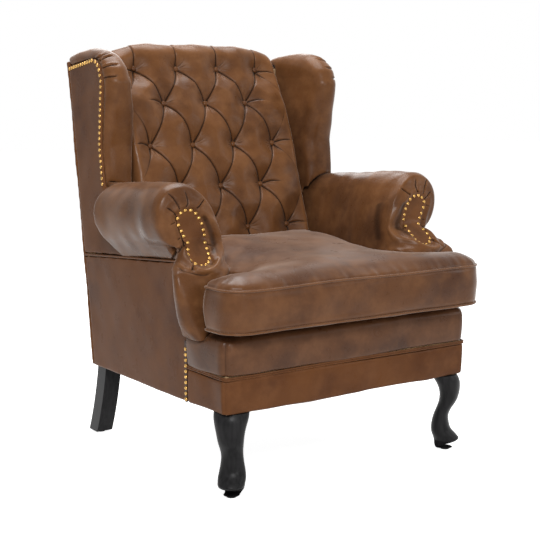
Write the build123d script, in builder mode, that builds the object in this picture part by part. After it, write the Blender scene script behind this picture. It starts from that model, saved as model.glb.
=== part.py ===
"""Wingback armchair: hardwood frame, webbing, padded leather pieces, tufted back, loose T cushion.

Millimetres, +Z up. The origin is on the floor, below the middle of the chair's outer box, and the
chair faces -Y. Left and right are as seen from in front. Depths are counted from the front face of
the base towards the rear.
"""

import os
from math import cos, radians, sin, tan

from build123d import *

os.makedirs("parts", exist_ok=True)

# Base: the box of seat rails with its leather covers.
base_width = 720.0
base_depth = 640.0
leg_height = 196.0
cover = 10.0
rail_thickness = 28.0
rail_height = 110.0
band_height = 79.0
welt = 6.0
welt_proud = 1.5
border_roll_height = 91.0
border_roll_depth = 52.0
border_roll_radius = 24.0
border_corner_radius = 8.0
border_wrap = 157.0
corner_block_leg = 95.0
corner_block_height = 45.0
dust_cover_thickness = 1.2
dust_cover_inset = 14.0
dust_cover_notch = 92.0

# Back: raked posts, crest rail, lower rail and webbing.
back_rake = 8.1
post_depth = 55.0
post_top = 978.0
back_rail_thickness = 24.0
crest_rail_height = 85.0
crest_rail_bow = 16.0
lower_rail_bottom = 392.0
lower_rail_height = 60.0
belt_width = 60.0
belt_thickness = 1.5
back_belts_up = 4
back_belts_across = 5
seat_belts_long = 6
seat_belts_across = 5
seat_belt_first = 42.0
seat_belt_pitch = 110.0

# Tufting of the back: buttons in staggered rows, counted from the lowest row.
tuft_pitch = 129.0
tuft_crown = 24.0
lowest_row_depth = 532.0
lowest_row_height = 541.0
row_rise = 110.5
row_lean = 37.0
top_row_rise = 89.5
top_row_lean = 51.0
tuft_rows = 5
buttons_in_wide_row = 4
button_diameter = 15.0
button_thickness = 7.0
button_bed = 4.0
button_sides = 12
back_pad_width = 534.0
back_top = 1031.0
back_shoulder = 1003.0
back_flat_top_width = 300.0
back_roll_height = 81.0
back_roll_reach = 66.0
back_roll_shares = (0.3, 0.77)
back_rear_drop = 42.0
back_rear_roll_shares = (0.62, 0.86)
back_crest_lean = 30.0

# Wings: padded ears beside the back, as level sections from the arm up to the brow.
wing_thickness = 70.0
wing_inner_width = 544.0
wing_frame_thickness = 24.0
wing_frame_cover = 24.0
wing_seat_height = 664.0
wing_foot_height = 560.0
wing_top = 1010.0
wing_ear_depth = 510.0
wing_waist_depth = 546.0
wing_peak_depth = 656.0
wing_rear_height = 990.0
wing_panel_rear_height = 966.0
wing_corner_height = 984.0
wing_corner_share = 2.5
wing_cap_inset = 30.0
wing_cap_rise_shares = (0.0, 0.48, 0.82, 1.0)
wing_cap_inset_shares = (0.0, 0.2, 0.55, 1.0)
wing_cap_front_shares = (0.0, 0.2, 0.5, 0.9)
wing_height_shares = (0.0, 0.295, 0.578, 0.754, 0.861)
wing_front_shares = (0.92, 1.0, 0.31, 0.0, 0.47, 1.0)
wing_edge_shares = (1.2, 1.58, 1.33, 1.17, 1.5, 2.1)
wing_roll_share = 0.8

# Arms: rolls over a frame, with a scrolled front and a padded post below it.
arm_width = 834.0
arm_top = 697.0
arm_droop = 26.0
arm_front = 175.0
arm_dome = 26.0
arm_rear = 640.0
arm_roll_radius = 66.0
arm_crease_height = 554.0
arm_crease_inset = 28.0
arm_seam_front_height = 522.0
arm_seam_rear_height = 487.0
seat_width = 486.0
seat_flare = 36.0
lining_height = 520.0
lining_shoulder_height = 607.0
lining_shoulder_out = 264.0
lining_lean = 4.0
shoulder_flare_share = 0.6
roll_start_angle = 157.0
roll_top_angle = 80.0
roll_flank_inset = 5.0
scroll_foot_in = 251.0
arm_outer_end = 502.0
arm_outer_end_height = 600.0
arm_outer_end_curl = 55.0
arm_outer_end_reach = 110.0
arm_rail_width = 50.0
arm_rail_thickness = 26.0
arm_rail_height = 590.0
stump_front = 186.0
stump_depth = 42.0
dome_shares = ((0.0, 1.0), (0.7, 0.95), (1.0, 0.8))

# Padded arm posts, as level sections from the border up to the scroll.
post_pad_foot = 350.0
post_pad_knee = 505.0
post_pad_height_shares = (0.0, 0.14, 0.37, 0.65, 0.87, 1.0)
post_pad_in = 322.0
post_pad_in_reach = 72.0
post_pad_in_shares = (-0.08, 0.0, 0.12, 0.45, 0.82, 1.0)
post_pad_out = 372.0
post_pad_out_reach = 38.0
post_pad_out_shares = (0.0, 0.37, 0.66, 0.89, 1.0, 0.97)
post_pad_front = 79.0
post_pad_front_reach = 21.0
post_pad_front_shares = (0.05, 0.0, 0.05, 0.24, 0.62, 1.0)
post_pad_slant_share = 0.6
post_pad_slant_out_share = 0.25
post_pad_side_share = 0.35
post_pad_corner_share = 0.16
lobe_top = 552.0
lobe_height_shares = (0.0, 0.32, 0.66, 1.0)
lobe_front_reach = 60.0
lobe_front_shares = (0.0, 0.37, 0.7, 1.0)
lobe_corner_share = 0.22
lobe_out = 368.0
lobe_out_reach = 43.0
lobe_out_shares = (1.0, 0.72, 0.4, 0.0)

# Scroll facing and domed nails.
facing_thickness = 3.0
facing_head_out = 336.0
facing_head_height = 605.0
facing_head_radius = 40.0
facing_bend_height = 566.0
facing_notch_out = 352.0
facing_foot_out = 334.0
facing_foot_height = 538.0
facing_foot_radius = 31.0
facing_foot_reach = 48.0
facing_foot_drop = 52.0
nail_diameter = 9.5
nail_height = 3.0
nail_taper = 40.0
nail_sides = 8
facing_nails = 24
wing_nails = 24
wing_top_nails = 11
strip_nail_pitch = 13.0
nail_edge = 7.0
strip_width = 10.0
strip_thickness = 1.5
strip_top = 338.0

# Loose T cushion.
deck_gap = 0.3
cushion_overhang = 50.0
cushion_width = 750.0
cushion_body_width = 460.0
cushion_flare = 30.0
cushion_ear_depth = 114.0
cushion_rear = 502.0
cushion_belly = 12.0
cushion_belly_inset = 34.0
cushion_boxing = 94.0
cushion_crown = 38.0
cushion_crown_inset = 46.0
cushion_crown_shares = ((0.4, 0.2), (0.75, 0.55), (1.0, 1.0))
cushion_bulge = 4.0
cushion_corner_radius = 56.0
cushion_ear_radius = 16.0
cushion_notch_radius = 60.0

# Legs, glides and the hanger bolts that hold the legs.
front_leg_out = 325.0
front_leg_depth = 29.0
front_leg_knee = 40.5
front_leg_height_shares = (0.0, 0.089, 0.16, 0.24, 0.34, 0.42, 0.53, 0.63, 0.75, 0.86, 0.94, 1.0)
front_leg_centre_shares = (-0.06, -0.05, -0.02, -0.25, -0.32, -0.3, -0.12, 0.1, 0.21, 0.15, 0.0, -0.15)
front_leg_depth_shares = (0.36, 0.6, 0.77, 0.64, 0.54, 0.48, 0.47, 0.54, 0.62, 0.72, 0.79, 0.77)
front_leg_width_shares = (0.36, 0.64, 0.78, 0.77, 0.69, 0.64, 0.65, 0.72, 0.8, 0.91, 0.99, 1.0)
rear_leg_out = 342.0
rear_leg_width = 45.0
rear_leg_depth = 44.0
rear_leg_sweep = 60.0
rear_leg_curve = 6.0
glide_height = 5.0
glide_diameter = 22.0
bolt_diameter = 8.0
bolt_length = 70.0
bolt_clearance = 0.3
overrun = 20.0

# Derived places.
half_base = base_width / 2
lean = tan(radians(back_rake))
rail_top = leg_height + rail_height
deck_top = leg_height + band_height + welt + border_roll_height
frame_outer = half_base - cover
frame_inner = frame_outer - rail_thickness
back_cap_height = back_top - back_rear_drop
rear_reach = base_depth + (back_cap_height - leg_height) * lean
front_face = (cushion_overhang + cushion_bulge - rear_reach) / 2


def at(depth):
    """Y of a depth counted from the base's front face."""
    return front_face + depth


def rear_line(height, inset=0.0):
    """Depth of the raked rear face at a height, or of a plane inset in front of it."""
    return base_depth + (height - leg_height) * lean - inset


def write(builder, name):
    builder.part.label = name
    export_step(builder.part, f"parts/{name}.step")


def write_pair(builder, name):
    """Writes a piece of the right-hand side and its mirror image on the left."""
    with BuildPart() as mirrored:
        mirror(builder.part, about=Plane.YZ)
    write(builder, f"{name}_right")
    write(mirrored, f"{name}_left")


def side_plane(out):
    """A plane that looks along +X, at a distance out from the middle of the chair."""
    return Plane.YZ.offset(out)


def face_plane(depth):
    """A plane that looks towards the front, at a depth."""
    return Plane.XZ.offset(-at(depth))


def raked_band(low, high, front_inset, rear_inset):
    """Corner points of a strip that follows the raked rear face, in (y, z)."""
    return [
        (at(rear_line(low, front_inset)), low),
        (at(rear_line(high, front_inset)), high),
        (at(rear_line(high, rear_inset)), high),
        (at(rear_line(low, rear_inset)), low),
    ]


def side_board(points, inner, outer):
    """A board of one side, cut to corner points in (y, z), between two distances out."""
    with BuildPart() as board:
        with BuildSketch(side_plane(inner)):
            with BuildLine():
                Polyline(*points, close=True)
            make_face()
        extrude(amount=outer - inner)
    return board


def level_box(low_x, high_x, low_depth, high_depth, low, high):
    """An upright block between two heights."""
    with BuildPart() as block:
        with BuildSketch(Plane.XY.offset(low)):
            with Locations(((low_x + high_x) / 2, at((low_depth + high_depth) / 2))):
                Rectangle(high_x - low_x, high_depth - low_depth)
        extrude(amount=high - low)
    return block


# Seat frame: four rails, and blocks screwed into the corners.
rail_front = cover
rail_rear = cover + rail_thickness
front_rail_blank = level_box(-frame_outer, frame_outer, rail_front, rail_rear, leg_height, rail_top)
with BuildPart() as front_seat_rail:
    add(front_rail_blank.part)
    with BuildSketch(Plane.XY.offset(leg_height)):
        with Locations((front_leg_out, at(front_leg_depth)), (-front_leg_out, at(front_leg_depth))):
            Circle(bolt_diameter / 2 + bolt_clearance)
    extrude(amount=bolt_length / 2 + bolt_clearance, mode=Mode.SUBTRACT)
write(front_seat_rail, "front_seat_rail")

post_front_inset = cover + post_depth
side_rail_corners = [
    (at(rail_rear), leg_height),
    (at(rear_line(leg_height, post_front_inset)), leg_height),
    (at(rear_line(rail_top, post_front_inset)), rail_top),
    (at(rail_rear), rail_top),
]
side_seat_rail = side_board(side_rail_corners, frame_inner, frame_outer)
write_pair(side_seat_rail, "side_seat_rail")

rail_front_inset = cover + back_rail_thickness
rear_rail_corners = raked_band(leg_height, rail_top, rail_front_inset, cover)
rear_seat_rail = side_board(rear_rail_corners, -frame_inner, frame_inner)
write(rear_seat_rail, "rear_seat_rail")

with BuildPart() as corner_blocks:
    rear_corner = rear_line(leg_height, rail_front_inset)
    with BuildSketch(Plane.XY.offset(leg_height)):
        for side in (-1, 1):
            for corner, reach in ((rail_rear, corner_block_leg), (rear_corner, -corner_block_leg)):
                with BuildLine():
                    Polyline(
                        (side * frame_inner, at(corner)),
                        (side * (frame_inner - corner_block_leg), at(corner)),
                        (side * frame_inner, at(corner + reach)),
                        close=True,
                    )
                make_face()
    extrude(amount=corner_block_height)
write(corner_blocks, "corner_blocks")

# Back frame: two raked posts, a bowed crest rail and a lower rail.
rear_leg_middle = rear_leg_out - rear_leg_width / 2
rear_bolt_out = (frame_inner + rear_leg_out) / 2
rear_bolt_depth = base_depth - rear_leg_depth / 2
post_corners = raked_band(leg_height, post_top, post_front_inset, cover)
back_post_blank = side_board(post_corners, frame_inner, frame_outer)
with BuildPart() as back_post:
    add(back_post_blank.part)
    with BuildSketch(Plane.XY.offset(leg_height)):
        with Locations((rear_bolt_out, at(rear_bolt_depth))):
            Circle(bolt_diameter / 2 + bolt_clearance)
    extrude(amount=bolt_length / 2 + bolt_clearance, mode=Mode.SUBTRACT)
write_pair(back_post, "back_post")

crest_corners = raked_band(post_top - crest_rail_height, post_top, rail_front_inset, cover)
crest_blank = side_board(crest_corners, -frame_inner, frame_inner)
with BuildPart() as crest_rail:
    add(crest_blank.part)
    with BuildSketch(face_plane(rear_reach)):
        with BuildLine():
            crest_shoulder = post_top - crest_rail_bow
            bow = ThreePointArc((-frame_inner, crest_shoulder), (0, post_top), (frame_inner, crest_shoulder))
            Polyline(
                bow @ 1,
                (frame_inner, post_top - crest_rail_height),
                (-frame_inner, post_top - crest_rail_height),
                bow @ 0,
            )
        make_face()
    extrude(amount=rear_reach, mode=Mode.INTERSECT)
write(crest_rail, "crest_rail")

lower_rail_top = lower_rail_bottom + lower_rail_height
lower_corners = raked_band(lower_rail_bottom, lower_rail_top, rail_front_inset, cover)
lower_back_rail = side_board(lower_corners, -frame_inner, frame_inner)
write(lower_back_rail, "lower_back_rail")

# Back webbing: upright belts tacked to the rails, and cross belts in front of them.
belt_low = lower_rail_bottom + lower_rail_height / 2
belt_high = post_top - crest_rail_height / 2
upright_pitch = back_pad_width / back_belts_up
with BuildPart() as back_webbing:
    upright = raked_band(belt_low, belt_high, rail_front_inset + belt_thickness, rail_front_inset)
    for i in range(back_belts_up):
        belt_middle = (i - (back_belts_up - 1) / 2) * upright_pitch
        with BuildSketch(side_plane(belt_middle - belt_width / 2)):
            with BuildLine():
                Polyline(*upright, close=True)
            make_face()
        extrude(amount=belt_width)
    cross_pitch = (belt_high - belt_low - belt_width) / (back_belts_across - 1)
    for i in range(back_belts_across):
        low = belt_low + i * cross_pitch
        cross = raked_band(
            low,
            low + belt_width,
            rail_front_inset + 2 * belt_thickness,
            rail_front_inset + belt_thickness,
        )
        with BuildSketch(side_plane(-frame_inner)):
            with BuildLine():
                Polyline(*cross, close=True)
            make_face()
        extrude(amount=2 * frame_inner)
write(back_webbing, "back_webbing")

# Seat webbing: lengthwise belts on the rails, and cross belts on top of them.
rear_rail_front = rear_line(rail_top, rail_front_inset)
with BuildPart() as seat_webbing:
    long_low, long_high = (rail_front + rail_rear) / 2, rear_rail_front + back_rail_thickness / 2
    with BuildSketch(Plane.XY.offset(rail_top)):
        with Locations((0, at((long_low + long_high) / 2))):
            with GridLocations(2 * frame_inner / seat_belts_long, 0, seat_belts_long, 1):
                Rectangle(belt_width, long_high - long_low)
    extrude(amount=belt_thickness)
    with BuildSketch(Plane.XY.offset(rail_top + belt_thickness)):
        with Locations(*[(0, at(seat_belt_first + i * seat_belt_pitch)) for i in range(seat_belts_across)]):
            Rectangle(2 * frame_inner + rail_thickness, belt_width)
    extrude(amount=belt_thickness)
write(seat_webbing, "seat_webbing")

# Arm frame: a stump on each side rail and a drooping rail from it back to the post.
arm_fall = arm_droop / (arm_rear - arm_front)


def droop(depth):
    """How far an arm has sunk at a depth, from its front towards the wing."""
    return arm_fall * (depth - arm_front)


def arm_rail_edge(height):
    """The two ends of an arm rail's edge, in (y, z): the rear one lies on the post's raked front."""
    rear = (rear_line(height, post_front_inset) + lean * arm_fall * arm_front) / (1 + lean * arm_fall)
    return (at(stump_front), height - droop(stump_front)), (at(rear), height - droop(rear))


stump_back = stump_front + stump_depth
rail_lower_edge = arm_rail_edge(arm_rail_height)
rail_upper_edge = arm_rail_edge(arm_rail_height + arm_rail_thickness)
arm_rail_corners = [*rail_lower_edge, rail_upper_edge[1], rail_upper_edge[0]]
arm_rail = side_board(arm_rail_corners, frame_outer - arm_rail_width, frame_outer)
write_pair(arm_rail, "arm_rail")

stump_blank = level_box(frame_inner, frame_outer, stump_front, stump_back, rail_top, arm_rail_height + welt)
with BuildPart() as arm_stump:
    add(stump_blank.part)
    add(arm_rail.part, mode=Mode.SUBTRACT)
write_pair(arm_stump, "arm_stump")


def wing_height(share):
    return wing_seat_height + share * (wing_top - wing_seat_height)


# Wing frame: a sawn board from the arm rail to the crest, in front of each post.
wing_frame_foot = rail_upper_edge[0][1] - droop(wing_waist_depth + wing_frame_cover) + droop(stump_front)
wing_frame_corners = [
    (at(wing_waist_depth + wing_frame_cover), wing_frame_foot),
    (at(wing_waist_depth + wing_frame_cover), wing_height(wing_height_shares[1])),
    (at(wing_ear_depth + wing_frame_cover), wing_height(wing_height_shares[3])),
    (at(wing_waist_depth + wing_frame_cover), post_top),
    (at(rear_line(post_top, post_front_inset)), post_top),
    rail_upper_edge[1],
]
wing_frame = side_board(wing_frame_corners, frame_outer - wing_frame_thickness, frame_outer)
write_pair(wing_frame, "wing_frame")


arm_outer = arm_width / 2

# Scroll facings: a keyhole-shaped cover on each scroll's end, bent forwards over the top of the post.
with BuildLine() as facing_line:
    head_in = (facing_head_out - facing_head_radius, facing_head_height)
    head_out = (facing_head_out + facing_head_radius, facing_head_height)
    foot_in = (facing_foot_out - facing_foot_radius, facing_foot_height)
    foot_out = (facing_foot_out + facing_foot_radius, facing_foot_height)
    ThreePointArc(head_in, (facing_head_out, facing_head_height + facing_head_radius), head_out)
    Polyline(head_out, (facing_notch_out, facing_bend_height), foot_out)
    ThreePointArc(foot_out, (facing_foot_out, facing_foot_height - facing_foot_radius), foot_in)
    Line(foot_in, head_in)
facing_loop = facing_line.wire()
facing_bend = [
    (at(arm_front), arm_top),
    (at(arm_front), facing_bend_height),
    (at(arm_front - facing_foot_reach), facing_bend_height - facing_foot_drop),
]


def facing_prism(low_shift, high_shift):
    """The facing's outline carried along the depth, between two copies of its bent face."""
    near = [(depth + low_shift, height) for depth, height in facing_bend]
    far = [(depth + high_shift, height) for depth, height in facing_bend]
    prism = side_board([*near, *reversed(far)], 0, arm_outer)
    with BuildPart() as cut:
        add(prism.part)
        with BuildSketch(face_plane(arm_front + overrun)):
            with BuildLine():
                add(facing_loop)
            make_face()
        extrude(amount=arm_front, mode=Mode.INTERSECT)
    return cut


arm_facing = facing_prism(0, facing_thickness)
facing_recess = facing_prism(-facing_foot_reach, facing_thickness)
write_pair(arm_facing, "arm_facing")


# Arm pads: inside lining and roll in one piece, with a domed scroll in front.
roll_centre_out = arm_outer - arm_roll_radius


def arm_seam(depth):
    """Height of the seam below the arm roll, along the side of the chair."""
    fall = arm_seam_front_height - arm_seam_rear_height
    return arm_seam_front_height - fall * (depth - arm_front) / (arm_rear - arm_front)


def roll_point(angle, drop):
    """A point of the arm roll's circle, in (x, z)."""
    centre_height = arm_top - arm_roll_radius - drop
    turn = radians(angle)
    return (roll_centre_out + arm_roll_radius * cos(turn), centre_height + arm_roll_radius * sin(turn))


def roll_outline(depth, foot, share=1.0):
    """Adds the roll's edge to a line, from a foot on the lining over to the crease, and returns its end.

    A share below one draws the edge in towards the top of the post.
    """
    drop = droop(depth)
    flare = seat_flare * (depth - arm_front) / (arm_rear - arm_front)
    middle = Vector(roll_centre_out, lobe_top)
    flank = roll_point(0, drop)
    crease = (arm_outer - arm_crease_inset, arm_crease_height - drop)
    route = [
        foot,
        (lining_shoulder_out + shoulder_flare_share * flare, lining_shoulder_height - drop),
        roll_point(roll_start_angle, drop),
        roll_point(roll_top_angle, drop),
        flank,
        (arm_outer - roll_flank_inset, (flank[1] + crease[1]) / 2),
        crease,
    ]
    drawn = [middle + (Vector(*point) - middle) * share for point in route]
    for start, via, end in zip(drawn[0::2], drawn[1::2], drawn[2::2]):
        ThreePointArc(start, via, end)
    return drawn[0], drawn[-1]


def arm_section(depth):
    """Outline of an arm at a depth: lining, roll and underside."""
    inner = seat_width / 2 + seat_flare * (depth - arm_front) / (arm_rear - arm_front)
    foot = (inner + lining_lean, lining_height - droop(depth))
    seam = arm_seam(depth)
    with BuildSketch(face_plane(depth)) as section:
        with BuildLine():
            Line((inner, deck_top), foot)
            crease = roll_outline(depth, foot)[1]
            Polyline(
                crease, (half_base, seam), (frame_inner, seam), (frame_inner, deck_top), (inner, deck_top)
            )
        make_face()
    return section.sketch


def scroll_section(inset, share):
    """The domed end of an arm's scroll, ahead of the roll by an inset."""
    with BuildSketch(face_plane(arm_dome_back - inset)) as section:
        with BuildLine():
            start, end = roll_outline(arm_dome_back, (scroll_foot_in, lobe_top), share)
            Line(end, start)
        make_face()
    return section.sketch


arm_dome_back = arm_front + arm_dome
arm_reach = arm_outer + overrun
arm_top_cut = arm_top + overrun
front_cut = level_box(0, arm_reach, post_pad_front, arm_dome_back, post_pad_knee, arm_top_cut)
rear_cut = side_board(
    raked_band(deck_top - overrun, arm_top_cut, post_front_inset, -arm_rear), 0, arm_reach
)
with BuildPart() as outer_end_cut:
    with BuildSketch(side_plane(frame_outer)):
        with BuildLine():
            low_curl = arm_outer_end_height - arm_outer_end_reach
            high_curl = arm_outer_end_height + arm_outer_end_reach
            curl_depth = at(arm_outer_end - arm_outer_end_curl)
            end_curl = ThreePointArc(
                (curl_depth, low_curl), (at(arm_outer_end), arm_outer_end_height), (curl_depth, high_curl)
            )
            Polyline(end_curl @ 1, (at(arm_rear), high_curl), (at(arm_rear), low_curl), end_curl @ 0)
        make_face()
    extrude(amount=arm_reach - frame_outer)
arm_main = [arm_section(depth) for depth in (border_wrap, arm_dome_back, arm_rear)]
dome = [scroll_section(reach * arm_dome, share) for reach, share in dome_shares]
with BuildPart() as arm_pad:
    for front_face_section, rear_face in zip(arm_main, arm_main[1:]):
        loft([front_face_section, rear_face], ruled=True)
    add(front_cut.part, mode=Mode.SUBTRACT)
    add(rear_cut.part, mode=Mode.SUBTRACT)
    add(outer_end_cut.part, mode=Mode.SUBTRACT)
    for rear_face, front_face_section in zip(dome, dome[1:]):
        loft([rear_face, front_face_section], ruled=True)
    for piece in (arm_rail, arm_stump, wing_frame, back_post, facing_recess):
        add(piece.part, mode=Mode.SUBTRACT)
write_pair(arm_pad, "arm_pad")


# Outside arm panels, below the seam, and the welt along it.
seam_end_height = arm_seam(rear_line(arm_seam_rear_height, cover))
seam_end = (at(rear_line(seam_end_height, cover)), seam_end_height)
welt_end = (at(rear_line(seam_end_height - welt, cover)), seam_end_height - welt)
seam_start, welt_start = [(at(border_wrap), arm_seam(border_wrap) - drop) for drop in (0, welt)]
side_panel_corners = [
    (at(border_wrap), leg_height),
    (at(rear_line(leg_height, cover)), leg_height),
    welt_end,
    welt_start,
]
outside_arm_panel = side_board(side_panel_corners, frame_outer, half_base)
write_pair(outside_arm_panel, "outside_arm_panel")
arm_welt = side_board([welt_start, welt_end, seam_end, seam_start], frame_outer, half_base + welt_proud)
write_pair(arm_welt, "arm_welt")


# Post pads: level sections from the border up to the scroll, below and in front of each roll.
def post_section(height, inner, outer, front, rear, corner_share):
    """Level outline of a post pad, slanted towards the seat and drawn in towards the side of the base."""
    reach = rear - front
    with BuildSketch(Plane.XY.offset(height)) as section:
        with BuildLine():
            Polyline(
                (inner, at(rear)),
                (inner, at(front + post_pad_slant_share * reach)),
                (inner + post_pad_slant_out_share * (outer - inner), at(front)),
                (outer, at(front)),
                (outer, at(front + post_pad_side_share * reach)),
                (half_base, at(rear)),
                close=True,
            )
        make_face()
        forward = section.vertices().filter_by(lambda corner: corner.Y < at(rear) - corner_share * reach)
        fillet(forward, corner_share * reach)
    return section.sketch


lower_sections = [
    post_section(
        post_pad_foot + high * (post_pad_knee - post_pad_foot),
        post_pad_in - inner * post_pad_in_reach,
        post_pad_out + outer * post_pad_out_reach,
        post_pad_front + front * post_pad_front_reach,
        border_wrap,
        post_pad_corner_share,
    )
    for high, inner, outer, front in zip(
        post_pad_height_shares, post_pad_in_shares, post_pad_out_shares, post_pad_front_shares
    )
]
lobe_front = post_pad_front + post_pad_front_reach
lobe_sections = [
    post_section(
        post_pad_knee + high * (lobe_top - post_pad_knee),
        post_pad_in - post_pad_in_reach,
        lobe_out + outer * lobe_out_reach,
        lobe_front + front * lobe_front_reach,
        arm_dome_back,
        lobe_corner_share,
    )
    for high, outer, front in zip(lobe_height_shares, lobe_out_shares, lobe_front_shares)
]
with BuildPart() as arm_post_pad:
    for low_face, high_face in zip(lower_sections, lower_sections[1:]):
        loft([low_face, high_face], ruled=True)
    for low_face, high_face in zip(lobe_sections, lobe_sections[1:]):
        loft([low_face, high_face], ruled=True)
    for piece in (arm_pad, arm_stump, arm_rail, facing_recess, outside_arm_panel, arm_welt):
        add(piece.part, mode=Mode.SUBTRACT)
write_pair(arm_post_pad, "arm_post_pad")

# Outside back: a flat panel over the frame, from the underside to below the crest roll.
outside_back_corners = raked_band(leg_height, post_top, cover, 0)
outside_back_panel = side_board(outside_back_corners, -half_base, half_base)
write(outside_back_panel, "outside_back_panel")

# Wings: depths of the padded front and of the outside panel's edge, at each section.
def wing_depth(share):
    return wing_ear_depth + share * (wing_waist_depth - wing_ear_depth)


wing_heights = [wing_height(share) for share in wing_height_shares] + [post_top]
wing_fronts = [wing_depth(share) for share in wing_front_shares]
wing_edges = [wing_depth(share) for share in wing_edge_shares]
wing_inner = half_base - wing_thickness
wing_back_inset = rail_front_inset + 2 * belt_thickness

# Outside wing panels: from the arm seam up, with the padded arm let into them.
panel_edge = [(at(depth), height) for depth, height in zip(wing_edges, wing_heights)]
panel_top_front = (at(wing_depth(wing_corner_share)), wing_corner_height)
panel_top_rear = (at(rear_line(wing_panel_rear_height, cover)), wing_panel_rear_height)
wing_panel_foot = arm_outer_end - 2 * arm_outer_end_curl
wing_panel_corners = [
    (at(wing_panel_foot), arm_seam(wing_panel_foot)),
    seam_end,
    panel_top_rear,
    panel_top_front,
    *reversed(panel_edge),
    (at(wing_panel_foot), wing_seat_height - overrun),
]
wing_panel_blank = side_board(wing_panel_corners, frame_outer, half_base)
with BuildPart() as outside_wing_panel:
    add(wing_panel_blank.part)
    add(arm_pad.part, mode=Mode.SUBTRACT)
write_pair(outside_wing_panel, "outside_wing_panel")

# Inside wing pads: level sections with a rolled front, and a cap rolled over the top.
def wing_section(height, front, edge):
    """Level outline of a wing pad with its padded front edge."""
    roll_start = front + wing_roll_share * (edge - front)
    rear = at(rear_line(height, wing_back_inset))
    with BuildSketch(Plane.XY.offset(height)) as section:
        with BuildLine():
            roll = ThreePointArc(
                (half_base, at(roll_start)),
                (half_base - wing_thickness / 2, at(front)),
                (wing_inner, at(roll_start)),
            )
            Polyline(
                roll @ 1,
                (wing_inner_width / 2, rear),
                (frame_outer, rear),
                (frame_outer, at(edge)),
                (half_base, at(edge)),
                roll @ 0,
            )
        make_face()
    return section.sketch


foot_section = (wing_foot_height, wing_fronts[0], wing_edges[0])
wing_levels = [foot_section, *zip(wing_heights, wing_fronts, wing_edges)]
wing_sections = [wing_section(*level) for level in wing_levels]

def cap_section(height, inset, front):
    """Level outline of the cap over a wing, drawn in by an inset."""
    outer, inner = half_base - inset, wing_inner + inset
    rear_inner = wing_inner_width / 2 + inset
    roll_start = front + wing_roll_share * (wing_edges[-1] - wing_fronts[-1])
    with BuildSketch(Plane.XY.offset(height)) as section:
        with BuildLine():
            roll = ThreePointArc(
                (outer, at(roll_start)), ((outer + inner) / 2, at(front)), (inner, at(roll_start))
            )
            Polyline(
                roll @ 1,
                (rear_inner, at(rear_line(post_top, wing_back_inset))),
                (rear_inner, at(rear_line(post_top))),
                (outer, at(rear_line(post_top))),
                roll @ 0,
            )
        make_face()
    return section.sketch


cap_sections = [
    cap_section(
        post_top + rise * (wing_top - post_top),
        inset * wing_cap_inset,
        wing_fronts[-1] + reach * (wing_peak_depth - wing_fronts[-1]),
    )
    for rise, inset, reach in zip(wing_cap_rise_shares, wing_cap_inset_shares, wing_cap_front_shares)
]
cap_slope = [
    (at(wing_peak_depth), wing_top),
    (at(rear_reach), wing_rear_height),
    (at(rear_reach), wing_top),
]
slope_cut = side_board(cap_slope, wing_inner_width / 2, half_base)
with BuildPart() as wing_cap:
    for low_face, high_face in zip(cap_sections, cap_sections[1:]):
        loft([low_face, high_face], ruled=True)
    add(slope_cut.part, mode=Mode.SUBTRACT)
cap_lip_corners = [
    (at(wing_depth(wing_corner_share)), post_top),
    (at(rear_line(post_top)), post_top),
    (at(rear_line(wing_panel_rear_height)), wing_panel_rear_height),
]
cap_lip = side_board(cap_lip_corners, frame_outer, half_base)
with BuildPart() as wing_pad:
    for low_face, high_face in zip(wing_sections, wing_sections[1:]):
        loft([low_face, high_face], ruled=True)
    add(wing_cap.part)
    add(cap_lip.part)
    for piece in (arm_pad, arm_rail, wing_frame, back_post, crest_rail):
        add(piece.part, mode=Mode.SUBTRACT)
    for piece in (outside_wing_panel, outside_back_panel):
        add(piece.part, mode=Mode.SUBTRACT)
write_pair(wing_pad, "wing_pad")

# Tufted back: between two rows of buttons, scalloped bars slant both ways and keep what they share.
tuft_levels = [
    (lowest_row_depth + i * row_lean, lowest_row_height + i * row_rise) for i in range(tuft_rows - 1)
]
tuft_levels.append((tuft_levels[-1][0] + top_row_lean, tuft_levels[-1][1] + top_row_rise))
half_pitch = tuft_pitch / 2


def scallop_bar(level, end, shift, offset):
    """A thick bar with scallops between the buttons of one row, carried to another depth and height."""
    (depth, height), (end_depth, end_height) = level, end
    count = int(back_pad_width / tuft_pitch) + 4
    run = Vector(shift, end_depth - depth, end_height - height)
    with BuildPart() as bar:
        with BuildSketch(Plane.XY.offset(height)):
            with BuildLine():
                cusps = [(offset + (i - count / 2) * tuft_pitch, at(depth)) for i in range(count + 1)]
                for start, finish in zip(cusps, cusps[1:]):
                    crown = ((start[0] + finish[0]) / 2, start[1] - tuft_crown)
                    ThreePointArc(start, crown, finish)
                rear = at(rear_reach)
                Polyline(cusps[-1], (cusps[-1][0], rear), (cusps[0][0], rear), cusps[0])
            make_face()
        extrude(amount=run.length, dir=run)
    return bar.part


def tuft_slab(level, end, offset):
    """The pillows between two rows of buttons, or straight channels where no button row ends them."""
    with BuildPart() as slab:
        add(scallop_bar(level, end, half_pitch, offset))
        add(scallop_bar(level, end, -half_pitch, offset), mode=Mode.INTERSECT)
    return slab.part


def row_offset(row):
    """Sideways place of a row's buttons: the lowest row and every second one above it are the wide ones."""
    return half_pitch if row % 2 == 0 else 0


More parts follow.
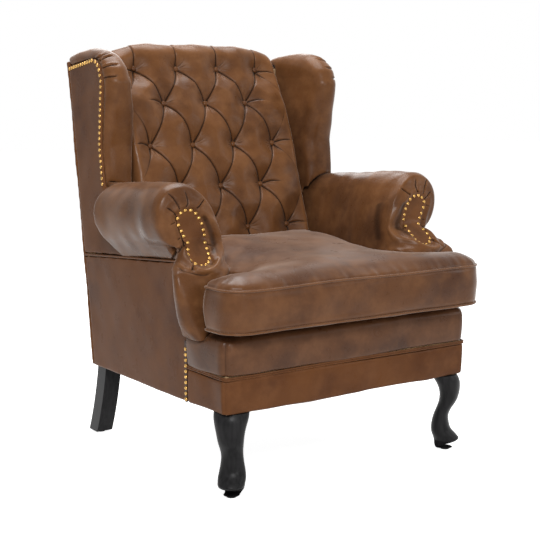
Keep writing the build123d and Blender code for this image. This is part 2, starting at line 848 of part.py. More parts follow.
lowest, topmost = tuft_levels[0], tuft_levels[-1]
deck_level = (lowest[0], deck_top)
crest_level = (topmost[0] + back_crest_lean, back_top)
roll_start_height = back_top - back_roll_height
roll_share = (roll_start_height - tuft_levels[-2][1]) / top_row_rise
roll_start_depth = tuft_levels[-2][0] + roll_share * top_row_lean - tuft_crown
with BuildPart() as tufted_back_pad:
    add(scallop_bar(deck_level, lowest, 0, half_pitch))
    for row, (level, end) in enumerate(zip(tuft_levels, tuft_levels[1:])):
        add(tuft_slab(level, end, row_offset(row)))
    add(scallop_bar(topmost, crest_level, 0, half_pitch))
    with BuildSketch(side_plane(-back_pad_width / 2)):
        with BuildLine():
            front_roll = ThreePointArc(
                (at(roll_start_depth), roll_start_height),
                (
                    at(roll_start_depth + back_roll_shares[0] * back_roll_reach),
                    roll_start_height + back_roll_shares[1] * back_roll_height,
                ),
                (at(roll_start_depth + back_roll_reach), back_top),
            )
            rear_run = rear_reach - roll_start_depth - back_roll_reach
            rear_roll = ThreePointArc(
                front_roll @ 1,
                (
                    at(roll_start_depth + back_roll_reach + back_rear_roll_shares[0] * rear_run),
                    back_top - (1 - back_rear_roll_shares[1]) * back_rear_drop,
                ),
                (at(rear_reach), back_cap_height),
            )
            pad_inset = rail_front_inset + 2 * belt_thickness
            Polyline(
                rear_roll @ 1,
                (at(rear_line(post_top)), post_top),
                (at(rear_line(post_top, pad_inset)), post_top),
                (at(rear_line(deck_top, pad_inset)), deck_top),
                (at(border_wrap), deck_top),
                (at(border_wrap), roll_start_height),
                front_roll @ 0,
            )
        make_face()
    extrude(amount=back_pad_width, mode=Mode.INTERSECT)
    with BuildSketch(face_plane(rear_reach + overrun)):
        with BuildLine():
            half_pad, half_flat = back_pad_width / 2, back_flat_top_width / 2
            Line((-half_flat, back_top), (half_flat, back_top))
            right_shoulder = TangentArc((half_flat, back_top), (half_pad, back_shoulder), tangent=(1, 0))
            left_shoulder = TangentArc((-half_flat, back_top), (-half_pad, back_shoulder), tangent=(-1, 0))
            Polyline(right_shoulder @ 1, (half_pad, deck_top), (-half_pad, deck_top), left_shoulder @ 1)
        make_face()
    extrude(amount=2 * rear_reach, mode=Mode.INTERSECT)
    add(crest_rail.part, mode=Mode.SUBTRACT)

# Buttons: one at each crossing of the pleats, sunk into its own bed and square to the slope there.
button_seats = []
for row, (depth, height) in enumerate(tuft_levels):
    below, above = tuft_levels[max(row - 1, 0)], tuft_levels[min(row + 1, tuft_rows - 1)]
    slope = Vector(0, above[0] - below[0], above[1] - below[1])
    facing = Vector(0, -slope.Z, slope.Y).normalized()
    count = buttons_in_wide_row - row % 2
    for i in range(count):
        out = (i - (count - 1) / 2) * tuft_pitch
        button_seats.append(Plane((out, at(depth), height), x_dir=(1, 0, 0), z_dir=facing))

with BuildPart() as back_buttons:
    for seat in button_seats:
        with BuildSketch(seat.offset(-button_bed)):
            RegularPolygon(button_diameter / 2, button_sides)
        extrude(amount=button_bed)
        with BuildSketch(seat):
            RegularPolygon(button_diameter / 2, button_sides)
        extrude(amount=button_thickness - button_bed, taper=nail_taper)
write(back_buttons, "back_buttons")

with BuildPart() as seated_back_pad:
    add(tufted_back_pad.part)
    for seat in button_seats:
        with BuildSketch(seat.offset(-button_bed)):
            RegularPolygon(button_diameter / 2, button_sides)
        extrude(amount=button_bed + tuft_crown, mode=Mode.SUBTRACT)
    for neighbour in (arm_pad.part, wing_pad.part):
        add(neighbour, mode=Mode.SUBTRACT)
        mirror(neighbour, about=Plane.YZ, mode=Mode.SUBTRACT)
write(seated_back_pad, "tufted_back_pad")

# Seat deck: a firm pad on the webbing, between the arms' frames.
deck_foot = rail_top + 2 * belt_thickness
deck_corners = [
    (at(border_roll_depth), deck_foot),
    (at(rear_line(deck_foot, post_front_inset)), deck_foot),
    (at(rear_line(deck_top, post_front_inset)), deck_top),
    (at(border_roll_depth), deck_top),
]
seat_deck = side_board(deck_corners, -frame_inner, frame_inner)
write(seat_deck, "seat_deck")


# Front border: a flat band, a welt and a soft roll, all wrapped round to the side strips.
def wrap(outset, depth, low, high):
    """A block of the base's plan from its front to the side strips, grown outwards by an outset."""
    with BuildPart() as block:
        with BuildSketch(Plane.XY.offset(low)):
            with Locations((0, at((depth - outset) / 2))):
                Rectangle(base_width + 2 * outset, depth + outset)
            fillet(vertices().group_by(Axis.Y)[0], border_corner_radius + outset)
        extrude(amount=high - low)
    return block


band_top = leg_height + band_height
welt_top = band_top + welt
band_core = level_box(-frame_outer, frame_outer, cover, border_wrap + overrun, leg_height, rail_top)
with BuildPart() as front_border_band:
    add(wrap(0, border_wrap, leg_height, band_top).part)
    add(band_core.part, mode=Mode.SUBTRACT)
write(front_border_band, "front_border_band")

with BuildPart() as front_border_welt:
    add(wrap(welt_proud, border_wrap, band_top, welt_top).part)
    add(band_core.part, mode=Mode.SUBTRACT)
write(front_border_welt, "front_border_welt")

roll_core = level_box(-frame_inner, frame_inner, border_roll_depth, border_wrap + overrun, welt_top, deck_top)
with BuildPart() as front_border_roll:
    add(wrap(0, border_wrap, welt_top, deck_top).part)
    upper_edges = front_border_roll.edges().group_by(Axis.Z)[-1]
    fillet(upper_edges.filter_by(lambda edge: edge.center().Y < at(border_wrap) - welt), border_roll_radius)
    for piece in (band_core, roll_core, seat_webbing):
        add(piece.part, mode=Mode.SUBTRACT)
    for piece in (arm_post_pad, arm_pad):
        add(piece.part, mode=Mode.SUBTRACT)
        mirror(piece.part, about=Plane.YZ, mode=Mode.SUBTRACT)
write(front_border_roll, "front_border_roll")


# Loose seat cushion: a T in plan, crowned above and below its boxing, with a welt round each seam.
def t_outline(height, inset):
    """The cushion's plan at a height, drawn in by an inset."""
    ear = cushion_width / 2 - inset
    body_front = cushion_body_width / 2 - inset
    body_rear = cushion_body_width / 2 + cushion_flare - inset
    front, rear = inset - cushion_overhang, cushion_rear - inset
    ear_back = cushion_ear_depth - cushion_overhang - inset
    half = [(ear, front), (ear, ear_back), (body_front, ear_back), (body_rear, rear)]
    corners = half + [(-out, depth) for out, depth in reversed(half)]
    drawn_share = 1 - 2 * inset / cushion_ear_depth
    half_radii = [
        cushion_corner_radius * drawn_share,
        cushion_ear_radius * drawn_share,
        cushion_notch_radius + inset,
        cushion_ear_radius * drawn_share,
    ]
    with BuildSketch(Plane.XY.offset(height)) as section:
        with BuildLine():
            FilletPolyline(
                *[(out, at(depth)) for out, depth in corners],
                radius=half_radii + half_radii[::-1],
                close=True,
            )
        make_face()
    return section.sketch


belly_low = deck_top + deck_gap
seam_low = belly_low + cushion_belly
seam_high = seam_low + cushion_boxing
cushion_levels = [
    (belly_low, cushion_belly_inset),
    (seam_low, 0),
    ((seam_low + seam_high) / 2, -cushion_bulge),
    (seam_high, 0),
] + [(seam_high + rise * cushion_crown, inset * cushion_crown_inset) for rise, inset in cushion_crown_shares]
cushion_sections = [t_outline(*level) for level in cushion_levels]


def seam_welt(height):
    """A welt round the cushion's edge, centred on a seam."""
    with BuildPart() as ring:
        with BuildSketch(Plane.XY.offset(height - welt / 2)):
            add(Plane.XY.to_local_coords(t_outline(0, -welt_proud)))
            add(Plane.XY.to_local_coords(t_outline(0, welt)), mode=Mode.SUBTRACT)
        extrude(amount=welt)
    return ring


cushion_top_welt = seam_welt(seam_high)
cushion_bottom_welt = seam_welt(seam_low)
write(cushion_top_welt, "cushion_top_welt")
write(cushion_bottom_welt, "cushion_bottom_welt")
with BuildPart() as seat_cushion:
    for low_face, high_face in zip(cushion_sections, cushion_sections[1:]):
        loft([low_face, high_face], ruled=True)
    for piece in (cushion_top_welt, cushion_bottom_welt):
        add(piece.part, mode=Mode.SUBTRACT)
write(seat_cushion, "seat_cushion")

# Front legs: cabriole legs that turn outwards at the corners, lofted through level ellipses.
with BuildPart() as front_leg:
    shares = zip(
        front_leg_height_shares, front_leg_centre_shares, front_leg_depth_shares, front_leg_width_shares
    )
    for high, shift, thick, wide in shares:
        with BuildSketch(Plane.XY.offset(glide_height + high * (leg_height - glide_height))):
            step = shift * front_leg_knee * sin(radians(45))
            with Locations(Location((front_leg_out + step, at(front_leg_depth - step)), (0, 0, 45))):
                Ellipse(wide * front_leg_knee, thick * front_leg_knee)
    loft()
    with BuildSketch(Plane.XY.offset(leg_height)):
        with Locations((front_leg_out, at(front_leg_depth))):
            Circle(bolt_diameter / 2 + bolt_clearance)
    extrude(amount=-bolt_length / 2 - bolt_clearance, mode=Mode.SUBTRACT)
write_pair(front_leg, "front_leg")

# Rear legs: square legs that sweep back.
with BuildPart() as rear_leg:
    with BuildSketch(side_plane(rear_leg_out - rear_leg_width)):
        with BuildLine():
            middle_height = (leg_height + glide_height) / 2
            front_edge, rear_edge = [
                ThreePointArc(
                    (at(top), leg_height),
                    (at(top + rear_leg_sweep / 2 - rear_leg_curve), middle_height),
                    (at(top + rear_leg_sweep), glide_height),
                )
                for top in (base_depth - rear_leg_depth, base_depth)
            ]
            Line(front_edge @ 0, rear_edge @ 0)
            Line(front_edge @ 1, rear_edge @ 1)
        make_face()
    extrude(amount=rear_leg_width)
    with BuildSketch(Plane.XY.offset(leg_height)):
        with Locations((rear_bolt_out, at(rear_bolt_depth))):
            Circle(bolt_diameter / 2 + bolt_clearance)
    extrude(amount=-bolt_length / 2 - bolt_clearance, mode=Mode.SUBTRACT)
write_pair(rear_leg, "rear_leg")

foot_places = [
    (side * out, at(depth))
    for side in (-1, 1)
    for out, depth in (
        (front_leg_out, front_leg_depth),
        (rear_leg_middle, base_depth - rear_leg_depth / 2 + rear_leg_sweep),
    )
]
with BuildPart() as leg_glides:
    with BuildSketch():
        with Locations(*foot_places):
            Circle(glide_diameter / 2)
    extrude(amount=glide_height)
write(leg_glides, "leg_glides")

with BuildPart() as leg_bolts:
    with BuildSketch(Plane.XY.offset(leg_height - bolt_length / 2)):
        for side in (-1, 1):
            with Locations(
                (side * front_leg_out, at(front_leg_depth)), (side * rear_bolt_out, at(rear_bolt_depth))
            ):
                Circle(bolt_diameter / 2)
    extrude(amount=bolt_length)
write(leg_bolts, "leg_bolts")

# Dust cover: thin cloth under the frame, cut round the legs.
with BuildPart() as dust_cover:
    with BuildSketch(Plane.XY.offset(leg_height - dust_cover_thickness)):
        cover_out = half_base - dust_cover_inset
        cover_front, cover_rear = at(dust_cover_inset), at(base_depth - dust_cover_inset)
        with BuildLine():
            Polyline(
                (-cover_out, cover_front + dust_cover_notch),
                (-cover_out + dust_cover_notch, cover_front),
                (cover_out - dust_cover_notch, cover_front),
                (cover_out, cover_front + dust_cover_notch),
                (cover_out, cover_rear - dust_cover_notch),
                (cover_out - dust_cover_notch, cover_rear),
                (dust_cover_notch - cover_out, cover_rear),
                (-cover_out, cover_rear - dust_cover_notch),
                close=True,
            )
        make_face()
    extrude(amount=dust_cover_thickness)
write(dust_cover, "dust_cover")


# Nails: low domes, round each facing, along the edge of each outside wing panel and down each strip.
with BuildPart() as single_nail:
    with BuildSketch():
        RegularPolygon(nail_diameter / 2, nail_sides)
    extrude(amount=nail_height, taper=nail_taper)


def nail_row(seats):
    """A row of domed nails, one on each plane, which faces away from the leather."""
    with BuildPart() as row:
        with Locations(*[seat.location for seat in seats]):
            add(single_nail.part)
    return row


def side_seat(point, out):
    """A plane that faces outwards at a point in (y, z), at a distance out from the middle."""
    return Plane((out, *point), x_dir=(0, 1, 0), z_dir=(1, 0, 0))


def facing_seat(spot):
    """A plane on the bent facing at a spot in (x, z)."""
    sunk = max(facing_bend_height - spot.Y, 0)
    depth = arm_front - sunk * facing_foot_reach / facing_foot_drop
    normal = (0, -facing_foot_drop, facing_foot_reach) if sunk > 0 else (0, -1, 0)
    return Plane((spot.X, at(depth), spot.Y), x_dir=(1, 0, 0), z_dir=normal)


nail_loop = facing_loop.offset_2d(-nail_edge)
loose_nail_row = nail_row(facing_seat(nail_loop @ (i / facing_nails)) for i in range(facing_nails))
with BuildPart() as facing_nail_row:
    add(loose_nail_row.part)
    for piece in (arm_facing, arm_post_pad):
        add(piece.part, mode=Mode.SUBTRACT)
write_pair(facing_nail_row, "facing_nails")

wing_edge_line = [(depth + nail_edge, height) for depth, height in panel_edge]
wing_corner_nail = (panel_top_front[0] + nail_edge, panel_top_front[1] - nail_edge)
with BuildLine() as wing_nail_line:
    Polyline(*wing_edge_line, wing_corner_nail)
with BuildLine() as wing_top_line:
    Line(wing_corner_nail, (panel_top_rear[0] - nail_edge, panel_top_rear[1] - nail_edge))
edge_wire, top_wire = wing_nail_line.wire(), wing_top_line.wire()
wing_spots = [edge_wire @ ((i + 1 / 2) / wing_nails) for i in range(wing_nails)]
wing_spots += [top_wire @ (i / (wing_top_nails - 1)) for i in range(wing_top_nails)]
wing_nail_row = nail_row(side_seat((spot.X, spot.Y), half_base) for spot in wing_spots)
write_pair(wing_nail_row, "wing_nails")

strip_end = border_wrap + strip_width
side_strip = level_box(half_base, half_base + strip_thickness, border_wrap, strip_end, leg_height, strip_top)
write_pair(side_strip, "side_strip")
strip_middle, strip_face = at(border_wrap + strip_width / 2), half_base + strip_thickness
strip_nails = int((strip_top - leg_height) / strip_nail_pitch)
strip_heights = [leg_height + (i + 1 / 2) * strip_nail_pitch for i in range(strip_nails)]
strip_nail_row = nail_row(side_seat((strip_middle, height), strip_face) for height in strip_heights)
write_pair(strip_nail_row, "strip_nails")
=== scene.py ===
"""Wingback armchair: leather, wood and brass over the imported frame, in its own studio."""

from math import cos, pi, radians, sin, tan

import bmesh
import bpy
import numpy as np
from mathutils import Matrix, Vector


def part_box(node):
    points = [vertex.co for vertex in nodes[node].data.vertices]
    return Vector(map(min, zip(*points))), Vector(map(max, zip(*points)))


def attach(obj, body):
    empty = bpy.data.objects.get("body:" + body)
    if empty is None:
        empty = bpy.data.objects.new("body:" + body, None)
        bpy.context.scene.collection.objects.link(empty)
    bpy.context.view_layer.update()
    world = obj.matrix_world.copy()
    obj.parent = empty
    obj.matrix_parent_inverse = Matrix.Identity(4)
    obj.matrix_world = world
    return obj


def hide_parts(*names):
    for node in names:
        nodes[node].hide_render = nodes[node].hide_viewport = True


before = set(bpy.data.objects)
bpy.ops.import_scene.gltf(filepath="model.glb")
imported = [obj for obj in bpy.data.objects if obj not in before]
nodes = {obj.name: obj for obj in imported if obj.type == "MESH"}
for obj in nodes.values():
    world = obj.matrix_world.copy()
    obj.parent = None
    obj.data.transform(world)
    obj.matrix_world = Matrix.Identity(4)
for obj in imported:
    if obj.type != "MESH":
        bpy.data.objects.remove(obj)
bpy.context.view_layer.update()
SIDES = {"left": -1, "right": 1}

# Sizes shared with the frame, in metres. Depths are counted from the base's front face.
FRONT = -0.34943
HALF_BASE = 0.36
BASE_DEPTH = 0.64
LEG_TOP = 0.196
DECK = 0.372
PIPING = 0.278
SEAM_LOW, SEAM_HIGH = 0.3843, 0.4783
BORDER_WRAP = 0.157
LEAN = tan(radians(8.1))
FAR = 9.0
FAR_PIXELS = 999.0

# The photograph's camera: its place, turn, tilt and focal length in pixels of a 540 x 540 frame.
EYE = np.array([-1.741, FRONT - 2.144, 0.896])
TURN, TILT = radians(35), radians(8.37)
FOCUS, MIDDLE = 1200, 270
ACROSS = np.array([cos(TURN), -sin(TURN), 0])
AHEAD = np.array([sin(TURN) * cos(TILT), cos(TURN) * cos(TILT), -sin(TILT)])
DOWN = np.cross(AHEAD, ACROSS)


def at(depth):
    return FRONT + depth


def rear_line(height, inset=0.0):
    """The leaning rear of the chair."""
    return at(BASE_DEPTH + (height - LEG_TOP) * LEAN - inset)


# Numbers over points.
WAVE_SPREAD = (0.6, 1.5)
WAVE_PITCH = 1.6


def unit(vectors):
    return vectors / np.linalg.norm(vectors, axis=-1, keepdims=True)


def waves(points, size, seed, count=20):
    """Smooth noise of about unit strength, with bumps of one size."""
    rng = np.random.default_rng(seed)
    directions = unit(rng.normal(size=(count, points.shape[1])))
    directions *= (rng.uniform(*WAVE_SPREAD, count) * 2 * pi / size / WAVE_PITCH)[:, None]
    return np.sin(points @ directions.T + rng.uniform(0, 2 * pi, count)).sum(1) * (2 / count) ** 0.5


def two_waves(points, seed, long, short, high, low):
    """Slow waves with small ones on them: their sizes and their heights."""
    return waves(points, long, seed) * high + waves(points, short, seed + 1) * low


def step(low, high, value):
    """0 up to low, 1 from high, smooth between them."""
    share = np.clip((value - low) / (high - low), 0, 1)
    return share * share * (3 - 2 * share)


def hump(distance, width):
    return np.exp(-((distance / width) ** 2))


def photo_pixels(points):
    """Where the photograph shows points of the chair's left half; the right half is mirrored onto it."""
    offset = np.column_stack([-np.abs(points[:, 0]), points[:, 1], points[:, 2]]) - EYE
    depth = offset @ AHEAD
    return MIDDLE + FOCUS * np.column_stack([offset @ ACROSS / depth, offset @ DOWN / depth])


def drawn_on(pixels, place, normal):
    """Points on a plane, each where the photograph shows it on the chair's left half."""
    across, down = (np.asarray(pixels, float) - MIDDLE).T / FOCUS
    rays = AHEAD + across[:, None] * ACROSS + down[:, None] * DOWN
    return EYE + rays * ((np.asarray(place) - EYE) @ normal / (rays @ normal))[:, None]


def resampled(line, count=None, spacing=None):
    """An open line at even places, and the run along it."""
    line = np.asarray(line, float)
    run = np.concatenate([[0], np.cumsum(np.linalg.norm(np.diff(line, axis=0), axis=1))])
    even = np.linspace(0, run[-1], count or int(run[-1] / spacing) + 1)
    return np.stack([np.interp(even, run, column) for column in line.T], axis=1), even


def eased(line, rounds):
    for _ in range(rounds):
        line[1:-1] += 0.5 * ((line[:-2] + line[2:]) / 2 - line[1:-1])
    return line


def along_line(points, line, margin=9.0):
    """Distance from an open line, which side of it, and the share of its length, for flat points near it."""
    line = eased(resampled(line, 36)[0], 6)
    close = np.all((points > line.min(0) - margin) & (points < line.max(0) + margin), axis=1)
    spots = points[close]
    nearest, side, share = np.full(len(spots), FAR_PIXELS), np.zeros(len(spots)), np.zeros(len(spots))
    for i, (a, b) in enumerate(zip(line, line[1:])):
        length = np.linalg.norm(b - a)
        ahead = (b - a) / length
        reach = np.clip((spots - a) @ ahead, 0, length)
        offset = spots - a - reach[:, None] * ahead
        distance = np.hypot(offset[:, 0], offset[:, 1])
        closer = distance < nearest
        nearest[closer] = distance[closer]
        side[closer] = ahead[0] * offset[closer, 1] - ahead[1] * offset[closer, 0]
        share[closer] = (i + reach[closer] / length) / (len(line) - 1)
    results = np.tile([[FAR_PIXELS], [0.0], [0.0]], len(points))
    results[:, close] = nearest, side, share
    return results


LIP_PLACE, LIP_WIDTH, LIP_HEIGHT = 2.2, 1.3, 0.35
CREASE_SKIRT, SKIRT_DEPTH = 2.5, 0.25


def pleat(points, line, width, start=0.4, end=0.05):
    """A sharp fold, about -1 in its crease, with a low lip on one side; it fades out at its ends."""
    nearest, side, share = along_line(points, line)
    fade = step(0, start, share) * step(1, 1 - end, share)
    lip = hump(nearest - LIP_PLACE * width, LIP_WIDTH * width) * step(0, width, side)
    skirt = SKIRT_DEPTH * hump(nearest, CREASE_SKIRT * width)
    return fade * (LIP_HEIGHT * lip - hump(nearest, width) - skirt)


def ridge(points, line, width, start=0.2, end=0.2):
    """A round swelling along a line, from 0 to 1."""
    nearest, _, share = along_line(points, line)
    return hump(nearest, width) * step(0, start, share) * step(1, 1 - end, share)


# Meshes.
def linked(name, mesh):
    """A new object in the scene that shows a mesh."""
    obj = bpy.data.objects.new(name, mesh)
    bpy.context.scene.collection.objects.link(obj)
    return obj


def new_piece(name, points, faces):
    mesh = bpy.data.meshes.new(name)
    mesh.from_pydata(np.asarray(points, float).tolist(), [], faces)
    mesh.update()
    mesh.shade_smooth()
    return linked(name, mesh)


def read(items, key, width, kind=float):
    flat = np.empty(len(items) * width, dtype=kind)
    items.foreach_get(key, flat)
    return flat.reshape(-1, width)


def get_points(obj):
    return read(obj.data.vertices, "co", 3)


def set_points(obj, points):
    obj.data.vertices.foreach_set("co", points.ravel())
    obj.data.update()


def get_normals(obj):
    return read(obj.data.vertex_normals, "vector", 3, np.float32).astype(float)


class Neighbours:
    """Averages over the points joined to each point."""

    def __init__(self, obj):
        pairs = read(obj.data.edges, "vertices", 2, np.int32)
        self.a = np.concatenate([pairs[:, 0], pairs[:, 1]])
        self.b = np.concatenate([pairs[:, 1], pairs[:, 0]])
        self.size = len(obj.data.vertices)
        self.count = np.maximum(np.bincount(self.a, minlength=self.size), 1)

    def mean(self, values):
        if values.ndim == 1:
            return np.bincount(self.a, values[self.b], self.size) / self.count
        return np.stack([self.mean(column) for column in values.T], axis=1)

    def smooth(self, values, rounds, factor=0.5):
        for _ in range(rounds):
            values = values + factor * (self.mean(values) - values)
        return values


def evaluated(obj):
    """A new mesh with the object's modifiers applied."""
    graph = bpy.context.evaluated_depsgraph_get()
    return bpy.data.meshes.new_from_object(obj.evaluated_get(graph))


def soften(name, sources, voxel, rounds):
    """One soft skin over some CAD solids."""
    mesh = bpy.data.meshes.new(name + "_source")
    joined = bmesh.new()
    for source in sources:
        joined.from_mesh(nodes[source].data)
    joined.to_mesh(mesh)
    joined.free()
    source_obj = linked(name + "_source", mesh)
    remesh = source_obj.modifiers.new("skin", "REMESH")
    remesh.mode = "VOXEL"
    remesh.voxel_size = voxel
    skin = evaluated(source_obj)
    bpy.data.objects.remove(source_obj)
    skin.name = name
    skin.shade_smooth()
    obj = linked(name, skin)
    set_points(obj, Neighbours(obj).smooth(get_points(obj), rounds))
    return obj


def refine(obj):
    """One subdivision, kept in the mesh."""
    obj.modifiers.new("finer", "SUBSURF").levels = 1
    finer = evaluated(obj)
    obj.modifiers.clear()
    obj.data = finer
    finer.shade_smooth()


def inflate(obj, pinned, pressure, cap, frames=20):
    """Blows a skin up as cloth between its pinned seams; no point moves much further than the cap."""
    start = get_points(obj)
    group = obj.vertex_groups.new(name="pinned")
    group.add(np.flatnonzero(pinned).tolist(), 1.0, "REPLACE")
    cloth = obj.modifiers.new("cloth", "CLOTH")
    cloth.point_cache.frame_start, cloth.point_cache.frame_end = 1, frames
    settings = cloth.settings
    settings.quality = 4
    settings.use_pressure = True
    settings.uniform_pressure_force = pressure
    settings.vertex_group_mass = "pinned"
    settings.effector_weights.gravity = 0
    for frame_number in range(1, frames + 1):
        bpy.context.scene.frame_set(frame_number)
    graph = bpy.context.evaluated_depsgraph_get()
    move = get_points(obj.evaluated_get(graph)) - start
    length = np.linalg.norm(move, axis=1)[:, None] + 1e-9
    obj.modifiers.clear()
    obj.vertex_groups.clear()
    bpy.context.scene.frame_set(1)
    set_points(obj, start + move / length * cap * np.tanh(length / cap))


def raise_by(obj, amounts):
    set_points(obj, get_points(obj) + get_normals(obj) * amounts[:, None])


def store(obj, name, values):
    attribute = obj.data.attributes.new(name, "FLOAT", "POINT")
    attribute.data.foreach_set("value", values.astype(np.float32))


SPREAD = 0.9


def rub_and_shade(obj, rounds=40, scale=0.004, fold_scale=0.0005, wear_and_shade=0.0):
    """Keeps how far each point stands out from its surroundings, and its fine creases, for the leather's
    colour: lighter where it stands out for hand-rubbed wear and painted highlight, painted shade in hollows
    and creases.
    """
    near = Neighbours(obj)
    points, normals = get_points(obj), get_normals(obj)
    out = ((points - near.smooth(points, rounds, SPREAD)) * normals).sum(1)
    fine = ((points - near.smooth(points, 4, SPREAD)) * normals).sum(1)
    # Painted light: the first value lightens what stands out and paints shade into hollows; the second paints
    # shade into fine creases.
    store(obj, "rub_and_shade", np.clip(near.smooth(out, 2) / scale + wear_and_shade, -1, 1))
    store(obj, "crease", np.clip(-fine / fold_scale, 0, 1))


def rub_evenly(obj, wear_and_shade):
    """One wear all over, or one for each point, and no painted crease shade."""
    count = len(obj.data.vertices)
    store(obj, "rub_and_shade", np.zeros(count) + wear_and_shade)
    store(obj, "crease", np.zeros(count))


def tube(name, path, radius, closed=False, sides=10):
    """A round cord along points."""
    path = np.asarray(path, float)
    count = len(path)
    ahead = np.roll(path, -1, 0) - np.roll(path, 1, 0)
    if not closed:
        ahead[0], ahead[-1] = path[1] - path[0], path[-1] - path[-2]
    ahead = unit(ahead)
    across = unit(np.cross(ahead, (0.0, 0.0, 1.0)))
    lift = np.cross(across, ahead)
    turns = np.arange(sides) * 2 * pi / sides
    ring = across[:, None] * np.cos(turns)[None, :, None] + lift[:, None] * np.sin(turns)[None, :, None]
    points = (path[:, None] + radius * ring).reshape(-1, 3)
    faces = []
    for i in range(count if closed else count - 1):
        j = (i + 1) % count
        for k in range(sides):
            m = (k + 1) % sides
            faces.append((i * sides + k, i * sides + m, j * sides + m, j * sides + k))
    if not closed:
        faces.append(tuple(range(sides)))
        faces.append(tuple((count - 1) * sides + k for k in reversed(range(sides))))
    return new_piece(name, points, faces)


def disc_faces(rings, around):
    """Faces of rings of points round one middle point, which is the first."""
    faces = [(0, 1 + k, 1 + (k + 1) % around) for k in range(around)]
    for i in range(rings - 1):
        low, high = 1 + i * around, 1 + (i + 1) * around
        for k in range(around):
            m = (k + 1) % around
            faces.append((low + k, high + k, high + m, low + m))
    return faces


def dome(radius, height, around=14, up=5):
    """Points and faces of a low dome on the XY plane."""
    points = [(0, 0, height)]
    for i in range(1, up + 1):
        tilt = pi / 2 * i / up
        for k in range(around):
            turn = 2 * pi * k / around
            ring = radius * sin(tilt)
            points.append((ring * cos(turn), ring * sin(turn), height * cos(tilt)))
    return np.array(points), disc_faces(up, around)


OFF_AXIS = (0.31, 0.22, 0.93)


def scatter(name, stamp, seats):
    """Copies of one small form, each on a place and a direction, in one mesh."""
    form, form_faces = stamp
    points, faces = [], []
    for spot, normal in seats:
        normal = unit(np.asarray(normal, float))
        side = unit(np.cross(normal, OFF_AXIS))
        turned = form @ np.array([side, np.cross(normal, side), normal])
        faces += [tuple(i + len(points) * len(form) for i in face) for face in form_faces]
        points.append(turned + np.asarray(spot))
    return new_piece(name, np.concatenate(points), faces)


def solids_of(node):
    """The corner points of each separate solid of a CAD node."""
    keys = [tuple(round(value, 5) for value in vertex.co) for vertex in node.data.vertices]
    solids = {key: {key} for key in keys}
    for polygon in node.data.polygons:
        first, *others = [keys[i] for i in polygon.vertices]
        for other in others:
            joined, added = solids[first], solids[other]
            if joined is not added:
                joined |= added
                solids.update(dict.fromkeys(added, joined))
    separate = {id(solid): solid for solid in solids.values()}
    return [np.array(sorted(solid)) for solid in separate.values()]


def nail_seats(node):
    """Foot and direction of each nail of a CAD node: its foot ring is wider than its top."""
    seats = []
    for spots in solids_of(node):
        middle = spots.mean(0)
        far = np.linalg.norm(spots - middle, axis=1)
        wide = far > (far.min() + far.max()) / 2
        foot = spots[wide].mean(0)
        seats.append((foot, spots[~wide].mean(0) - foot))
    return seats


# Materials.
SETTINGS = {"operation", "feature", "attribute_name"}


def empty_tree(owner):
    owner.use_nodes = True
    owner.node_tree.nodes.clear()
    return owner.node_tree


def material(name):
    made = bpy.data.materials.new(name)
    tree = empty_tree(made)
    output = tree.nodes.new("ShaderNodeOutputMaterial")
    shader = tree.nodes.new("ShaderNodeBsdfPrincipled")
    tree.links.new(shader.outputs[0], output.inputs[0])
    return made, tree, shader


def node(tree, kind, links=(), **settings):
    """A shader node with its settings, and with its inputs linked or set."""
    made = tree.nodes.new(kind)
    for key, value in settings.items():
        if key in SETTINGS:
            setattr(made, key, value)
        else:
            made.inputs[key].default_value = value
    for key, source in dict(links).items():
        tree.links.new(source, made.inputs[key])
    return made


def mix(tree, share, low, high):
    """A colour between two colours, each a socket or plain numbers."""
    made = tree.nodes.new("ShaderNodeMix")
    made.data_type = "RGBA"
    for index, value in ((0, share), (6, low), (7, high)):
        if isinstance(value, bpy.types.NodeSocket):
            tree.links.new(value, made.inputs[index])
        else:
            made.inputs[index].default_value = value if index == 0 else (*value, 1)
    return made.outputs[2]


def ramp(tree, source, low, high, low_to=0.0, high_to=1.0):
    made = tree.nodes.new("ShaderNodeMapRange")
    for key, value in zip(("From Min", "From Max", "To Min", "To Max"), (low, high, low_to, high_to)):
        made.inputs[key].default_value = value
    made.interpolation_type = "SMOOTHSTEP"
    tree.links.new(source, made.inputs[0])
    return made.outputs[0]


def spots_on(tree, operation, values):
    """Places on the object, moved or stretched."""
    place = node(tree, "ShaderNodeTexCoord").outputs["Object"]
    made = node(tree, "ShaderNodeVectorMath", {0: place}, operation=operation)
    made.inputs[1].default_value = values
    return made.outputs[0]


def noise(tree, spot, scale, detail, roughness=0.5):
    links = {"Vector": spot}
    made = node(tree, "ShaderNodeTexNoise", links, Scale=scale, Detail=detail, Roughness=roughness)
    return made.outputs[0]


def set_inputs(shader, values):
    for key, value in values.items():
        shader.inputs[key].default_value = value


CLOUDS, PATCHES, SPECKS, GRAIN, PORES = 6.5, 19.0, 150.0, 620.0, 240.0
GRAIN_STRENGTH, GRAIN_DEPTH = 0.1, 0.0008
ROUGHNESS = (0.26, 0.37)
# How dark the painted shade is in the leather's hollows and in its creases; creases are also made rougher.
RECESS_SHADE, CREASE_SHADE, CREASE_DULLNESS = 0.4, 0.12, 0.4
SHEEN_ROUGHNESS, SHEEN_TINT = 0.35, (1.0, 0.87, 0.78, 1.0)


def darker(colour, share):
    return tuple(share * value for value in colour)


